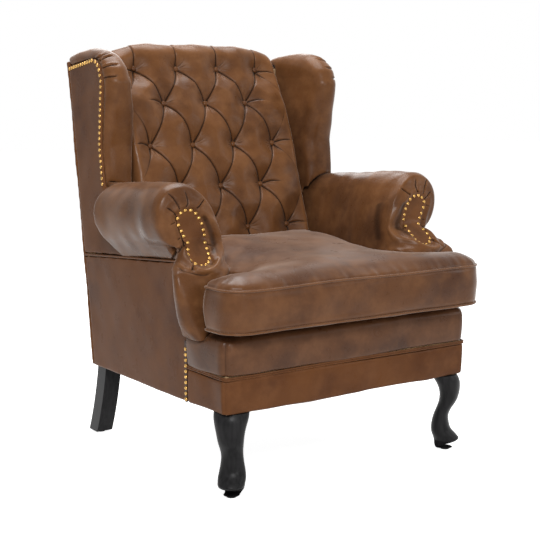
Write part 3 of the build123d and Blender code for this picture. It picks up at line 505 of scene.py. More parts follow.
def leather_tone(tree, dark, mid, light, cloud, patch, speck):
    """Mottled all over, with painted shade where the leather is drawn in and in its creases, and lighter
    where it stands out, for rubbed wear and painted highlight.
    """
    rubbed_and_shaded = node(tree, "ShaderNodeAttribute", attribute_name="rub_and_shade").outputs["Fac"]
    crease = node(tree, "ShaderNodeAttribute", attribute_name="crease").outputs["Fac"]
    tone = mix(tree, ramp(tree, cloud, 0.34, 0.66), dark, mid)
    tone = mix(tree, ramp(tree, patch, 0.4, 0.72, 0.0, 0.6), tone, light)
    tone = mix(tree, ramp(tree, speck, 0.3, 0.75, 0.0, 0.16), tone, dark)
    # Painted light: lighter where the leather stands out, painted shade in its hollows, darkest in its
    # creases.
    tone = mix(tree, ramp(tree, rubbed_and_shaded, 0.0, 1.0, 0.0, 0.5), tone, light)
    tone = mix(tree, ramp(tree, rubbed_and_shaded, 0.0, -1.0, 0.0, 0.8), tone, darker(dark, RECESS_SHADE))
    tone = mix(tree, ramp(tree, crease, 0.15, 1.0, 0.0, 0.85), tone, darker(dark, CREASE_SHADE))
    return tone, crease


def leather(name, dark, mid, light, offset=0.0, shine=0.11, sheen=0.13):
    """Hand-rubbed leather with fine pores, and painted shade in its hollows and creases."""
    made, tree, shader = material(name)
    spot = spots_on(tree, "ADD", (offset, offset * 0.7, -offset))
    cloud = noise(tree, spot, CLOUDS, 3.0)
    patch = noise(tree, spot, PATCHES, 5.0, 0.6)
    speck = noise(tree, spot, SPECKS, 3.0, 0.6)
    tone, crease = leather_tone(tree, dark, mid, light, cloud, patch, speck)
    tree.links.new(tone, shader.inputs["Base Color"])
    gloss = ramp(tree, patch, 0.3, 0.7, *ROUGHNESS)
    dull = node(tree, "ShaderNodeMath", {0: crease}, operation="MULTIPLY_ADD")
    dull.inputs[1].default_value = CREASE_DULLNESS
    tree.links.new(gloss, dull.inputs[2])
    tree.links.new(dull.outputs[0], shader.inputs["Roughness"])
    cells = node(tree, "ShaderNodeTexVoronoi", {"Vector": spot}, feature="SMOOTH_F1", Scale=GRAIN)
    pores = noise(tree, spot, PORES, 4.0, 0.6)
    height = node(tree, "ShaderNodeMath", {0: cells.outputs[0], 1: pores}, operation="ADD")
    relief = {"Height": height.outputs[0]}
    bump = node(tree, "ShaderNodeBump", relief, Strength=GRAIN_STRENGTH, Distance=GRAIN_DEPTH)
    tree.links.new(bump.outputs[0], shader.inputs["Normal"])
    set_inputs(shader, {"Specular IOR Level": shine, "Sheen Weight": sheen})
    set_inputs(shader, {"Sheen Roughness": SHEEN_ROUGHNESS, "Sheen Tint": SHEEN_TINT})
    return made


RELIEF = 0.0003


def plain(name, colour, rough, metal=0.0, streak=40.0, amount=0.2, shine=0.25):
    """A finish with fine uneven tone and a little relief; streak is one number, or one for each axis."""
    made, tree, shader = material(name)
    spots = noise(tree, spots_on(tree, "MULTIPLY", np.ones(3) * streak), 1.0, 6.0)
    low = tuple(value * (1 - amount) for value in colour)
    high = tuple(min(value * (1 + amount), 1) for value in colour)
    tree.links.new(mix(tree, ramp(tree, spots, 0.3, 0.7), low, high), shader.inputs["Base Color"])
    tree.links.new(ramp(tree, spots, 0.3, 0.7, rough - 0.04, rough + 0.05), shader.inputs["Roughness"])
    bump = node(tree, "ShaderNodeBump", {"Height": spots}, Strength=0.3, Distance=RELIEF)
    tree.links.new(bump.outputs[0], shader.inputs["Normal"])
    set_inputs(shader, {"Metallic": metal, "Specular IOR Level": shine})
    return made


# Each hide has its dark, middle and light brown.
HIDE = (0.078, 0.031, 0.012), (0.122, 0.048, 0.016), (0.18, 0.078, 0.03)
# The cushion's and the seat front's hides are the leather made darker: painted shade for the lower front of
# the chair, which takes less light.
CUSHION = (0.055, 0.021, 0.009), (0.095, 0.037, 0.013), (0.15, 0.064, 0.025)
SEAT_FRONT = (0.05, 0.02, 0.009), (0.09, 0.036, 0.014), (0.14, 0.062, 0.028)
# The panels' hide is the leather with a darker light brown, painted shade for the brightly lit outer sides.
PANEL = (0.08, 0.03, 0.012), (0.12, 0.046, 0.016), (0.15, 0.062, 0.025)
FACING = (0.08, 0.03, 0.011), (0.13, 0.05, 0.015), (0.17, 0.07, 0.026)
# The deck's hide is the leather made much darker and greyer: painted shade for the deck under the cushion.
UNDER_CUSHION = (0.04, 0.018, 0.009), (0.07, 0.031, 0.016), (0.09, 0.045, 0.026)
STRIP = (0.03, 0.013, 0.008), (0.045, 0.02, 0.012), (0.07, 0.035, 0.02)
BLACK = (0.011, 0.0105, 0.011)
UPRIGHT_GRAIN = (160.0, 160.0, 14.0)

hide = leather("leather_main", *HIDE)
cushion_hide = leather("leather_cushion", *CUSHION, offset=3.1, shine=0.14, sheen=0.42)
seat_front_hide = leather("leather_seat_front", *SEAT_FRONT, offset=4.4, shine=0.14)
panel_hide = leather("leather_panel", *PANEL, offset=7.7, shine=0.05, sheen=0.06)
facing_hide = leather("leather_facing", *FACING, offset=5.2)
deck_hide = leather("leather_deck", *UNDER_CUSHION, offset=9.4)
dark_hide = leather("leather_strip", *STRIP, offset=1.4)
brass = plain("antique_brass", (0.46, 0.27, 0.08), 0.28, metal=1.0, streak=300.0, amount=0.45)
black_wood = plain("black_wood", BLACK, 0.36, streak=UPRIGHT_GRAIN, amount=0.35, shine=0.1)
foot_wood = plain("black_wood_foot", BLACK, 0.85, streak=UPRIGHT_GRAIN, amount=0.35, shine=0.03)
bare_wood = plain("bare_wood", (0.42, 0.27, 0.14), 0.6, streak=25.0, amount=0.3)
elastic = plain("elastic_webbing", (0.05, 0.04, 0.03), 0.8, streak=(500.0, 60.0, 500.0), amount=0.4)
dust_cloth = plain("dust_cloth", (0.012, 0.012, 0.013), 0.9, streak=700.0, amount=0.4)
nylon = plain("black_nylon", (0.02, 0.02, 0.021), 0.45, streak=200.0)
zinc = plain("zinc_steel", (0.5, 0.5, 0.49), 0.35, metal=1.0, streak=200.0)


def dress(obj, finish, body="chair", replaced=()):
    obj.data.materials.clear()
    obj.data.materials.append(finish)
    if replaced:
        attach(obj, body)
        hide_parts(*replaced)


# Tufted back: a sheet over the back's outer profile, drawn in at each button and each pleat.
PITCH = 0.129
ROWS = [(0.532, 0.541), (0.569, 0.6515), (0.606, 0.762), (0.643, 0.8725), (0.694, 0.962)]
OUTER = [
    (0.508, 0.385), (0.508, 0.44), (0.508, 0.50), (0.510, 0.541), (0.526, 0.596), (0.545, 0.6515),
    (0.5635, 0.707), (0.582, 0.762), (0.6005, 0.817), (0.620, 0.8725), (0.640, 0.911), (0.661, 0.95),
    (0.672, 0.982), (0.685, 1.009), (0.704, 1.025), (0.727, 1.031), (0.744, 1.0245), (0.7525, 1.005),
    (0.7515, 0.982),
]
BACK_HALF = 0.2595
SHEET_SPACING = 0.0016
CROWN, PLEAT_LEVEL, CREST_RISE = 0.0285, 0.0225, 0.0042
DIMPLE = 0.031
SLANT = 0.875
PLEAT_BENDS = {1: 0.005, -1: 0.009}
CREST_REACH = 0.09
SIDE_ROLL, ROLL_DEPTH, SIDE_TUCK = 0.022, 0.02, 0.002
SHOULDER, SHOULDER_SPAN, SHOULDER_FALL = 0.13, 0.137, 0.028
REAR_EDGE_TOP, REAR_INSET, REAR_NARROWING = 0.975, 0.038, 0.003
RAY_COUNTS = (11, 17, 23, 29)


def button_places(row_runs):
    """Sideways place, run along the profile and row of each button."""
    places = []
    for row, place in enumerate(row_runs):
        count = 4 - row % 2
        places += [((i - (count - 1) / 2) * PITCH, place, row) for i in range(count)]
    return places


def pleat_distances(u, s, run, row_runs):
    """Sideways distance to the pleats that slant up to the right and up to the left."""
    right, left = np.full(u.shape, PITCH / 2), np.full(u.shape, PITCH / 2)
    last = len(row_runs) - 1
    for row in range(-1, last + 1):
        low = run[0] if row < 0 else row_runs[row]
        high = run[-1] if row == last else row_runs[row + 1]
        inside = (s >= low) & (s < high) if row < last else s >= low
        t = np.clip((s - low) / (high - low), 0, 1)
        slanted = 0 <= row < last
        offset = PITCH / 2 if (row % 2 == 0 or not slanted) else 0.0
        for sign, target in ((1, right), (-1, left)):
            line = offset + (sign * t * PITCH / 2 if slanted else 0)
            bend = PLEAT_BENDS[sign] * 4 * t * (1 - t) if slanted else 0
            across = u - bend - line
            across = across - PITCH * np.round(across / PITCH)
            target[inside] = across[inside]
    return right, left


def button_pull(u, s, places):
    """Distance from the nearest button, and the short wrinkles round each button."""
    near = np.full(u.shape, FAR)
    wrinkle = np.zeros(u.shape)
    rng = np.random.default_rng(4)
    for x, place, _ in places:
        du, ds = u - x, s - place
        distance = np.hypot(du, ds * 0.92)
        near = np.minimum(near, distance)
        angle = np.arctan2(ds, du)
        phases = rng.uniform(0, 2 * pi, len(RAY_COUNTS))
        rays = sum(np.sin(n * angle + p) for n, p in zip(RAY_COUNTS, phases)) / len(RAY_COUNTS)
        wrinkle += rays * hump(distance - 0.016, 0.013) * 0.0007
    return near, wrinkle


def side_folds(u, s, places):
    """The level folds that run from the outer buttons to the wings."""
    depth = np.zeros(u.shape)
    for x, place, row in places:
        if abs(x) > 1.4 * PITCH or (row % 2 == 1 and abs(x) > 0.9 * PITCH):
            away = np.sign(x) * (u - x)
            level = s - place - 0.004 * np.sin(away * 60)
            depth += hump(level, 0.0028) * 0.0028 * step(0.0, 0.01, away) * step(0.07, 0.03, away)
    return depth


def tuft_height(u, s, run, row_runs, places):
    """How far the leather stands out over the pad's board."""
    right, left = pleat_distances(u, s, run, row_runs)
    near, wrinkle = button_pull(u, s, places)
    cap = step(row_runs[-1], row_runs[-1] + CREST_REACH, s)
    floor = PLEAT_LEVEL + CREST_RISE * cap
    puff_right = np.sin(pi * np.clip(np.abs(right) / PITCH, 0, 0.5)) ** 0.75
    puff_left = np.sin(pi * np.clip(np.abs(left) / PITCH, 0, 0.5)) ** 0.75
    body = 1 - np.exp(-((near / DIMPLE) ** 1.5))
    height = body * (floor + (CROWN - floor) * puff_right * puff_left)
    lines = np.minimum(np.abs(right), np.abs(left)) * SLANT
    groove = hump(lines, 0.0017) * 0.003 * (1 - 0.4 * cap) + hump(lines, 0.008) * 0.0018 * (1 - 0.7 * cap)
    strength = 0.55 + 0.45 * step(0.07, 0.01, near)
    inner = np.where(np.abs(u) > 1.5 * PITCH, step(1.72 * PITCH, 1.52 * PITCH, np.abs(u)), 1)
    height -= groove * strength * inner
    over = np.where(np.abs(left) < np.abs(right), left, right) * SLANT
    height += 0.0016 * step(0.0, 0.004, over) * hump(np.clip(over, 0, 1), 0.012) * inner
    height -= side_folds(u, s, places)
    height += wrinkle
    flat = np.stack([u.ravel(), s.ravel()], axis=1)
    return height + two_waves(flat, 11, 0.09, 0.035, 0.0011, 0.0004).reshape(u.shape) * body


def sheet_faces(rows, columns):
    index = np.arange(rows * columns).reshape(rows, columns)
    quads = np.stack([index[:-1, :-1], index[:-1, 1:], index[1:, 1:], index[1:, :-1]], axis=2)
    return index, quads.reshape(-1, 4).tolist()


def tufted_back():
    profile, run = resampled(eased(resampled(OUTER, spacing=0.002)[0], 60), spacing=SHEET_SPACING)
    ahead = unit(np.gradient(profile, axis=0))
    inward = np.stack([ahead[:, 1], -ahead[:, 0]], axis=1)
    row_runs = [run[np.argmin(np.linalg.norm(profile - row, axis=1))] for row in ROWS]
    out = np.linspace(-BACK_HALF, BACK_HALF, int(2 * BACK_HALF / SHEET_SPACING) + 1)
    u, s = np.meshgrid(out, run)
    places = button_places(row_runs)
    depth = CROWN - tuft_height(u, s, run, row_runs, places)

    # The sides roll back towards the wings, and the crest falls towards its shoulders.
    edge = np.clip((np.abs(u) - (BACK_HALF - SIDE_ROLL)) / SIDE_ROLL, 0, 1)
    depth = depth + ROLL_DEPTH * (1 - np.sqrt(np.clip(1 - edge**2, 0, 1)))
    y = at(profile[:, 0])[:, None] + inward[:, 0][:, None] * depth
    z = profile[:, 1][:, None] + inward[:, 1][:, None] * depth
    fall = SHOULDER_FALL * np.clip((np.abs(u) - SHOULDER) / SHOULDER_SPAN, 0, 1) ** 1.8
    z = z - fall * step(0.86, 1.01, profile[:, 1])[:, None]
    x = u - np.sign(u) * SIDE_TUCK * edge
    points = np.stack([x, y, z], axis=2).reshape(-1, 3)
    index, faces = sheet_faces(*u.shape)
    rear_points, base = [], len(points)
    for i in range(len(run)):
        level = min(profile[i, 1], REAR_EDGE_TOP)
        rear = rear_line(level, REAR_INSET)
        height = level if run[i] > row_runs[-1] else profile[i, 1]
        for sign in (-1, 1):
            rear_points.append((sign * (BACK_HALF - REAR_NARROWING), rear, height))
    for i in range(len(run) - 1):
        a, b = base + 2 * i, base + 2 * i + 2
        faces.append((int(index[i, 0]), int(index[i + 1, 0]), b, a))
        faces.append((int(index[i + 1, -1]), int(index[i, -1]), a + 1, b + 1))
    obj = new_piece("tufted_back", np.concatenate([points, rear_points]), faces)
    # The pleats and button dimples take painted shade in their colour, the crowns a lighter tone.
    rub_and_shade(obj, 60, 0.0032)
    dress(obj, hide, replaced=("tufted_back_pad",))
    seats = []
    for x, place, _ in places:
        i = int(np.argmin(np.abs(run - place)))
        normal = np.array([0, -inward[i, 0], -inward[i, 1]])
        spot = np.array([x, at(profile[i, 0]) + inward[i, 0] * CROWN, profile[i, 1] + inward[i, 1] * CROWN])
        seats.append((spot + normal * 0.0005, normal))
    return seats


def back_buttons(seats):
    buttons = scatter("buttons", dome(0.0075, 0.0052, 18, 6), seats)
    rub_and_shade(buttons, 3, 0.002, wear_and_shade=-0.4)
    dress(buttons, facing_hide, replaced=("back_buttons",))


back_buttons(tufted_back())


# Loose cushion: crowned over its plan, puffed out between its two piped seams.
HALF_T = [(0.375, -0.05), (0.375, 0.064), (0.23, 0.064), (0.26, 0.502)]
HALF_T_RADII = [0.056, 0.016, 0.060, 0.016]
CORD_RADIUS = 0.0026
CROWN_EDGE, CROWN_HEIGHT, CROWN_MIDDLE = 0.03, 0.041, 0.006
REAR_RISE, REAR_RISE_FROM, REAR_RISE_TO = 0.017, 0.08, 0.38
START_FALL = 0.006
PRESSURE, PUFF = 4.0, 0.009


def rounded(corners, radii, spacing=0.006):
    """A closed line through corners with arcs of the given radii."""
    corners = [np.array(corner, float) for corner in corners]
    line = []
    for i, corner in enumerate(corners):
        before, after = corners[i - 1] - corner, corners[(i + 1) % len(corners)] - corner
        before, after = before / np.linalg.norm(before), after / np.linalg.norm(after)
        half = np.arccos(np.clip(before @ after, -1, 1)) / 2
        reach = radii[i] / tan(half)
        middle = before + after
        centre = corner + middle / np.linalg.norm(middle) * radii[i] / sin(half)
        start, end = corner + before * reach, corner + after * reach
        first = np.arctan2(*(start - centre)[::-1])
        turn = (np.arctan2(*(end - centre)[::-1]) - first + pi) % (2 * pi) - pi
        count = max(int(abs(turn) * radii[i] / spacing), 4)
        for k in range(count + 1):
            angle = first + turn * k / count
            line.append(centre + radii[i] * np.array([cos(angle), sin(angle)]))
    return np.array(line)


def filled_in(line, spacing=0.004):
    """The same closed line with points all along its straight runs."""
    dense = []
    for a, b in zip(line, np.roll(line, -1, 0)):
        count = max(int(np.linalg.norm(b - a) / spacing), 1)
        dense += [a + (b - a) * k / count for k in range(count)]
    return np.array(dense)


T_CORNERS = [(x, at(y)) for x, y in HALF_T] + [(-x, at(y)) for x, y in reversed(HALF_T)]
T_LINE = rounded(T_CORNERS, HALF_T_RADII + HALF_T_RADII[::-1])


def outline_distance(points, line):
    """Distance inside a closed line, and the nearest place along it."""
    nearest = np.full(len(points), FAR)
    place = np.zeros(len(points))
    run = 0.0
    for a, b in zip(line, np.roll(line, -1, 0)):
        along = b - a
        length = np.linalg.norm(along)
        share = np.clip((points - a) @ along / length**2, 0, 1)
        offset = points - (a + share[:, None] * along)
        distance = np.linalg.norm(offset, axis=1)
        closer = distance < nearest
        nearest[closer] = distance[closer]
        place[closer] = run + share[closer] * length
        run += length
    return nearest, place


def cushion_shape(obj):
    """Crowns the skin over its plan, and leaves room for the cloth to swell."""
    points = get_points(obj)
    inside, _ = outline_distance(points[:, :2], T_LINE)
    normals = get_normals(obj)
    top = step(0.2, 0.75, normals[:, 2]) * (points[:, 2] > SEAM_HIGH - 0.01)
    crown = CROWN_HEIGHT * (1 - np.exp(-np.clip(inside - 0.001, 0, 1) / CROWN_EDGE)) ** 0.8
    crown += CROWN_MIDDLE * (1 - np.exp(-inside / 0.12)) - START_FALL * step(0.0, 0.03, inside)
    crown += REAR_RISE * step(REAR_RISE_FROM, REAR_RISE_TO, points[:, 1] - FRONT) * step(0.0, 0.06, inside)
    points[:, 2] = points[:, 2] * (1 - top) + (SEAM_HIGH + crown) * top
    calm = Neighbours(obj).smooth(points[:, 2], 14)
    points[:, 2] += (calm - points[:, 2]) * top * step(0.004, 0.02, inside)
    set_points(obj, points)


def cushion_relief(points, inside, place):
    """Slow waves, puckers along the top seam, and a shallow groove on both sides of each cord."""
    height = points[:, 2]
    along = np.stack([place, 0 * place], axis=1)
    out = two_waves(points, 22, 0.17, 0.06, 0.0018, 0.0005)
    out *= step(0, 0.03, inside) + step(0, 0.02, np.minimum(height - SEAM_LOW, SEAM_HIGH - height))
    out += waves(along, 0.02, 21) * hump(inside, 0.022) * step(SEAM_HIGH, SEAM_HIGH + 0.004, height) * 0.0006
    for seam in (SEAM_LOW, SEAM_HIGH):
        away = np.hypot(inside, height - seam)
        out -= hump(away - 0.0045, 0.003) * 0.0012
    return out


def cushion_cord(name, height, seed):
    line = filled_in(T_LINE)
    path = np.column_stack([line, height + waves(line, 0.22, seed) * 0.0008])
    cord = tube(name + "_cord", path, CORD_RADIUS, closed=True)
    rub_evenly(cord, 0.9)
    dress(cord, cushion_hide, "cushion", (name,))


def seat_cushion():
    obj = soften("seat_cushion_soft", ("seat_cushion", "cushion_top_welt", "cushion_bottom_welt"), 0.0055, 3)
    cushion_shape(obj)
    points, normals = get_points(obj), get_normals(obj)
    inside, _ = outline_distance(points[:, :2], T_LINE)
    seam = (np.abs(points[:, 2] - SEAM_HIGH) < 0.005) | (np.abs(points[:, 2] - SEAM_LOW) < 0.005)
    inflate(obj, ((inside < 0.006) & seam) | (normals[:, 2] < -0.6), PRESSURE, PUFF)
    refine(obj)
    points = get_points(obj)
    raise_by(obj, cushion_relief(points, *outline_distance(points[:, :2], T_LINE)))
    rub_and_shade(obj, 24, 0.004, fold_scale=0.0015, wear_and_shade=0.1)
    dress(obj, cushion_hide, "cushion", ("seat_cushion",))


seat_cushion()
cushion_cord("cushion_top_welt", SEAM_HIGH, 31)
cushion_cord("cushion_bottom_welt", SEAM_LOW, 32)


# Arms: roll, scroll and post pad in one leather skin, with the facing let in.
BEND = 0.566
FACE = at(0.175)
FOOT_SLOPE = 48 / 52
EASE = 0.004
NAIL_PIXELS = [
    (177.6, 218.5), (180.7, 213.2), (185.1, 210.4), (190.8, 210.4), (195.7, 213.4), (198.8, 218.0),
    (201.6, 223.6), (203.1, 229.9), (204.3, 235.1), (204.6, 242.3), (206.7, 248.4), (208.4, 253.7),
    (209.4, 258.3), (208.4, 262.2), (206.0, 265.0), (201.7, 266.1), (195.4, 263.9), (190.4, 260.4),
    (187.9, 254.7), (187.8, 249.5), (187.3, 242.5), (183.6, 236.4), (181.3, 231.2), (178.5, 225.2),
]


def facing_depth(height):
    """The facing's front is upright above its bend and leans forward below it."""
    return FACE - FOOT_SLOPE * EASE * np.log1p(np.exp((BEND - np.asarray(height)) / EASE))


def nail_loop():
    """The facing's nails on the chair's left, in x, y and z."""
    upright = drawn_on(NAIL_PIXELS, (0, FACE, BEND), np.array([0, 1, 0]))
    leaning = drawn_on(NAIL_PIXELS, (0, FACE, BEND), np.array([0, 1, -FOOT_SLOPE]))
    loop = np.where(upright[:, 2:] > BEND, upright, leaning)
    loop[:, 1] = facing_depth(loop[:, 2])
    return loop


LOOP = nail_loop()
LOOP_FLAT = np.column_stack([-LOOP[:, 0], LOOP[:, 2]])
MIDDLE_OF_LOOP = np.array([0.329, 0.575])
RIM = 0.0045

# Folds of the scrolled front, in pixels of the photograph: sharp pleats, ridges and soft hollows.
DEEP_PLEATS = [
    [(164.8, 192.5), (168.8, 194.1), (172.8, 197.7), (175.9, 202.1), (178.3, 206.5), (179.1, 209.7)],
    [(164.8, 207.3), (168.8, 208.9), (172.8, 212.0), (176.0, 216.0)],
    [(184.3, 189.7), (186.7, 194.5), (187.9, 199.3), (187.5, 204.1), (185.5, 207.3)],
    [(205.5, 197.3), (203.1, 201.7), (199.9, 205.7), (195.9, 208.5)],
]
LOW_PLEATS = [
    [(168.8, 225.2), (174.8, 222.4)],
    [(176.3, 240.4), (179.9, 238.0)],
]
SCROLL_JOIN = [(190.6, 261.6), (193.3, 265.9), (192.3, 270.5)]
INNER_RIDGE = [
    (207.4, 212.8), (211.0, 219.2), (215.0, 227.2), (218.2, 235.2), (220.2, 243.1), (221.2, 251.1),
    (220.6, 258.3), (218.2, 264.7), (213.4, 269.5), (207.8, 271.9), (201.5, 272.3), (196.5, 270.9),
    (193.5, 268.4),
]
INNER_HOLLOW = [(201.5, 213.0), (207.0, 222.0), (210.5, 233.0), (213.0, 245.0), (214.5, 257.0)]
LOWER_RIDGE = [(177.0, 261.7), (181.5, 265.5), (185.5, 268.3), (189.5, 269.5), (191.9, 268.7)]
LOWER_HOLLOW = [
    (176.0, 265.0), (182.0, 270.2), (189.0, 272.4), (196.0, 274.0), (204.0, 275.6), (213.0, 273.0),
]
LOBE_CREASE = [(184.4, 244.2), (179.1, 249.5), (175.2, 253.5), (172.0, 259.9)]

# How many pixels the front's outer and inner outline move, at rows of the photograph.
OUTER_ROWS, OUTER_MOVES = [258, 266, 275, 290, 309, 325, 342], [0, 1.5, 5.5, 5.9, 6.7, 7.5, 4.0]
INNER_ROWS, INNER_MOVES = [183, 200, 212, 232, 250], [0, 3.0, 2.6, 2.0, 0]
OUTER_COLUMNS, INNER_COLUMNS = (206, 184), (192, 209)
ARM_AWAY = 2.45
SCROLL_SWELL = 0.005


def facing_distance(x, z):
    """Distance in front view from the edge of the facing, positive outside it."""
    closed = np.concatenate([LOOP_FLAT, LOOP_FLAT[:1]])
    nearest, side, _ = along_line(np.column_stack([x, z]), closed, 0.12)
    return np.where(side > 0, -nearest, nearest) - RIM


def seen_from_front(points, normals):
    """About 1 where the photograph's camera sees a point of the chair's left half, or its mirror image."""
    flipped = np.where(points[:, :1] > 0, -1, 1) * (1, 0, 0) + (0, 1, 1)
    sight = unit(EYE - points * flipped)
    return step(-0.05, 0.25, (normals * flipped * sight).sum(1))


def draw_out(points):
    """Moves the front of an arm sideways, until its outlines lie on the photograph's."""
    pixels = photo_pixels(points)
    column, row = pixels.T
    y, z = points[:, 1] - FRONT, points[:, 2]
    outer = -np.interp(row, OUTER_ROWS, OUTER_MOVES)
    outer *= step(*OUTER_COLUMNS, column) * step(0.22, 0.18, y) * step(0.55, 0.53, z)
    inner = np.interp(row, INNER_ROWS, INNER_MOVES)
    inner *= step(*INNER_COLUMNS, column) * step(0.30, 0.24, y)
    shift = (outer + inner) * ARM_AWAY / FOCUS
    scroll = step(0.355, 0.385, np.abs(points[:, 0])) * step(0.3, 0.24, y) * step(0.55, 0.57, z)
    shift -= SCROLL_SWELL * scroll
    sideways = [-np.sign(points[:, 0]) * ACROSS[0], np.full(len(points), ACROSS[1]), np.zeros(len(points))]
    return points + shift[:, None] * np.column_stack(sideways)


def scroll_folds(pixels):
    """The folds of an arm's front, outwards, in metres."""
    folds = np.zeros(len(pixels))
    for line in DEEP_PLEATS:
        folds += 0.0032 * pleat(pixels, line, 0.7)
    for line in LOW_PLEATS:
        folds += 0.0012 * pleat(pixels, line, 0.8)
    folds += 0.004 * pleat(pixels, SCROLL_JOIN, 0.7, start=0.05)
    folds += 0.0042 * ridge(pixels, INNER_RIDGE, 2.4, 0.12, 0.06) - 0.0045 * ridge(pixels, INNER_HOLLOW, 3.0)
    folds += 0.0028 * ridge(pixels, LOWER_RIDGE, 1.8) - 0.0022 * ridge(pixels, LOWER_HOLLOW, 1.4)
    folds += 0.003 * pleat(pixels, LOBE_CREASE, 0.9)
    return folds


def arm_skin(side, sign, sources):
    """The softened skin, rounder beside the facing and drawn out to the photograph's outlines."""
    obj = soften(f"arm_{side}_skin", sources, 0.003, 7)
    points = get_points(obj)
    y, z = points[:, 1] - FRONT, points[:, 2]
    gap = facing_distance(points[:, 0] * sign, z)
    rounder = step(0.002, 0.014, gap) * step(0.24, 0.2, y) * step(0.45, 0.49, z) * step(0.64, 0.6, z)
    points += rounder[:, None] * (Neighbours(obj).smooth(points, 26) - points)
    set_points(obj, draw_out(points))
    refine(obj)
    return obj


def arm(side, sign):
    sources = (f"arm_pad_{side}", f"arm_post_pad_{side}", f"arm_facing_{side}")
    obj = arm_skin(side, sign, sources)
    points, normals = get_points(obj), get_normals(obj)
    x, y, z = points[:, 0] * sign, points[:, 1] - FRONT, points[:, 2]
    front = step(0.27, 0.24, y) * step(0.47, 0.49, z)
    gap = facing_distance(x, z)
    faces_front = step(0.1, 0.6, -normals[:, 1]) * front
    out = 0.0042 * hump(gap - 0.013, 0.009) * faces_front - 0.0035 * step(0.001, -0.001, gap) * faces_front
    out += 0.0022 * hump(gap - 0.042, 0.008) * faces_front * step(0.336, 0.316, x)
    pixels = photo_pixels(points)
    out += scroll_folds(pixels) * front * seen_from_front(points, normals)
    out += two_waves(points, 41, 0.12, 0.04, 0.0013, 0.0004) * step(0.0, 0.02, np.abs(gap))
    set_points(obj, points + unit(Neighbours(obj).smooth(normals, 6)) * out[:, None])
    # Painted light: a painted highlight along the inner ridge beside the facing, and painted shade in the
    # hollow between it and the nails.
    highlight_and_shade = ridge(pixels, INNER_RIDGE, 3.0) - 1.3 * ridge(pixels, INNER_HOLLOW, 4.0, 0.1, 0.1)
    rub_and_shade(obj, 24, 0.003, wear_and_shade=0.7 * highlight_and_shade * front)
    dress(obj, hide, replaced=sources[:2])


def facing_edge(around):
    """The facing's edge as a closed line, seen from the front."""
    turns = np.linspace(0, 2 * pi, around, endpoint=False)
    offset = LOOP_FLAT - MIDDLE_OF_LOOP
    angles = np.arctan2(offset[:, 1], offset[:, 0])
    order = np.argsort(angles)
    far = np.hypot(*offset[order].T) + RIM
    reach = np.interp(turns - pi, angles[order], far, period=2 * pi)
    reach = (np.roll(reach, 1) + 2 * reach + np.roll(reach, -1)) / 4
    return np.column_stack([np.cos(turns - pi), np.sin(turns - pi)]) * reach[:, None]


def facing(side, sign, rings=14, around=96):
    """The leather inside the nail loop: flat above, leaning forward below."""
    edge = facing_edge(around)
    shares = np.linspace(1 / rings, 1, rings)
    flat = np.concatenate([MIDDLE_OF_LOOP + edge * share for share in shares])
    flat = np.concatenate([[MIDDLE_OF_LOOP], flat])
    swell = np.concatenate([[1], np.repeat(1 - shares**6, around)])
    depth = facing_depth(flat[:, 1]) - 0.0012 * swell + waves(flat, 0.03, 44) * 0.0003
    points = np.column_stack([sign * flat[:, 0], depth, flat[:, 1]])
    faces = disc_faces(rings, around)
    obj = new_piece(f"facing_{side}", points, faces if sign > 0 else [face[::-1] for face in faces])
    rub_evenly(obj, 0.3 * waves(flat, 0.05, 45))
    dress(obj, facing_hide, replaced=(f"arm_facing_{side}",))


for side, sign in SIDES.items():
    arm(side, sign)
    facing(side, sign)


# Wings: a padded skin with a rolled front and gathers over the top, drawn as they are in the photograph.
WING_PLEATS = [
    [(113.0, 52.6), (105.0, 53.6), (100.0, 56.0), (96.5, 59.0)],
    [(116.5, 55.3), (108.3, 55.7), (102.2, 58.2), (98.6, 61.9)],
    [(120.5, 64.6), (112.3, 64.4), (106.2, 65.8), (101.8, 68.2)],
    [(119.8, 75.6), (113.0, 76.3), (106.2, 76.8), (102.6, 78.2)],
]
WING_PLEAT_DEPTHS = (0.0025, 0.0042, 0.0042, 0.0036)
WING_EDGE = [
    (94.5, 60.0), (97.6, 62.0), (101.0, 69.0), (103.6, 78.9), (103.3, 104.3), (102.0, 132.5), (103.6, 158.0),
    (104.6, 186.1),
]
WING_INSIDE = 0.2625
FULLER_HEIGHTS = [0.64, 0.70, 0.76, 0.81, 0.855, 0.905, 0.94]
FULLER_BY_MM = [12, 12.5, 17, 17, 12.5, 4, 0]


def fill_inwards(points):
    """Moves a wing's inner roll towards the middle of the chair, up to the side of the back."""
    across = np.abs(points[:, 0])
    shift = np.interp(points[:, 2], FULLER_HEIGHTS, FULLER_BY_MM) / 1000
    nearer = np.maximum(across - shift * step(0.36, 0.31, across), WING_INSIDE)
    points[:, 0] = np.sign(points[:, 0]) * np.where(across > WING_INSIDE, nearer, across)
    return points


def wing(side):
    obj = soften(f"wing_{side}_skin", (f"wing_pad_{side}",), 0.0035, 10)
    points = get_points(obj)
    top = step(0.94, 0.985, points[:, 2])[:, None]
    set_points(obj, points + top * (Neighbours(obj).smooth(points, 30) - points))
    set_points(obj, fill_inwards(get_points(obj)))
    refine(obj)
    points, normals = get_points(obj), get_normals(obj)
    out = two_waves(points, 51, 0.14, 0.045, 0.0014, 0.0004)
    pixels = photo_pixels(points)
    folds = 0.0022 * pleat(pixels, WING_EDGE, 0.6, start=0.02, end=0.02)
    for line, depth in zip(WING_PLEATS, WING_PLEAT_DEPTHS):
        folds += depth * pleat(pixels, line, 0.7, start=0.45)
    out += folds * seen_from_front(points, normals) * (points[:, 1] < at(BASE_DEPTH))
    set_points(obj, points + normals * out[:, None])
    rub_and_shade(obj, 24, 0.003)
    dress(obj, hide, replaced=(f"wing_pad_{side}",))


for side in SIDES:
    wing(side)


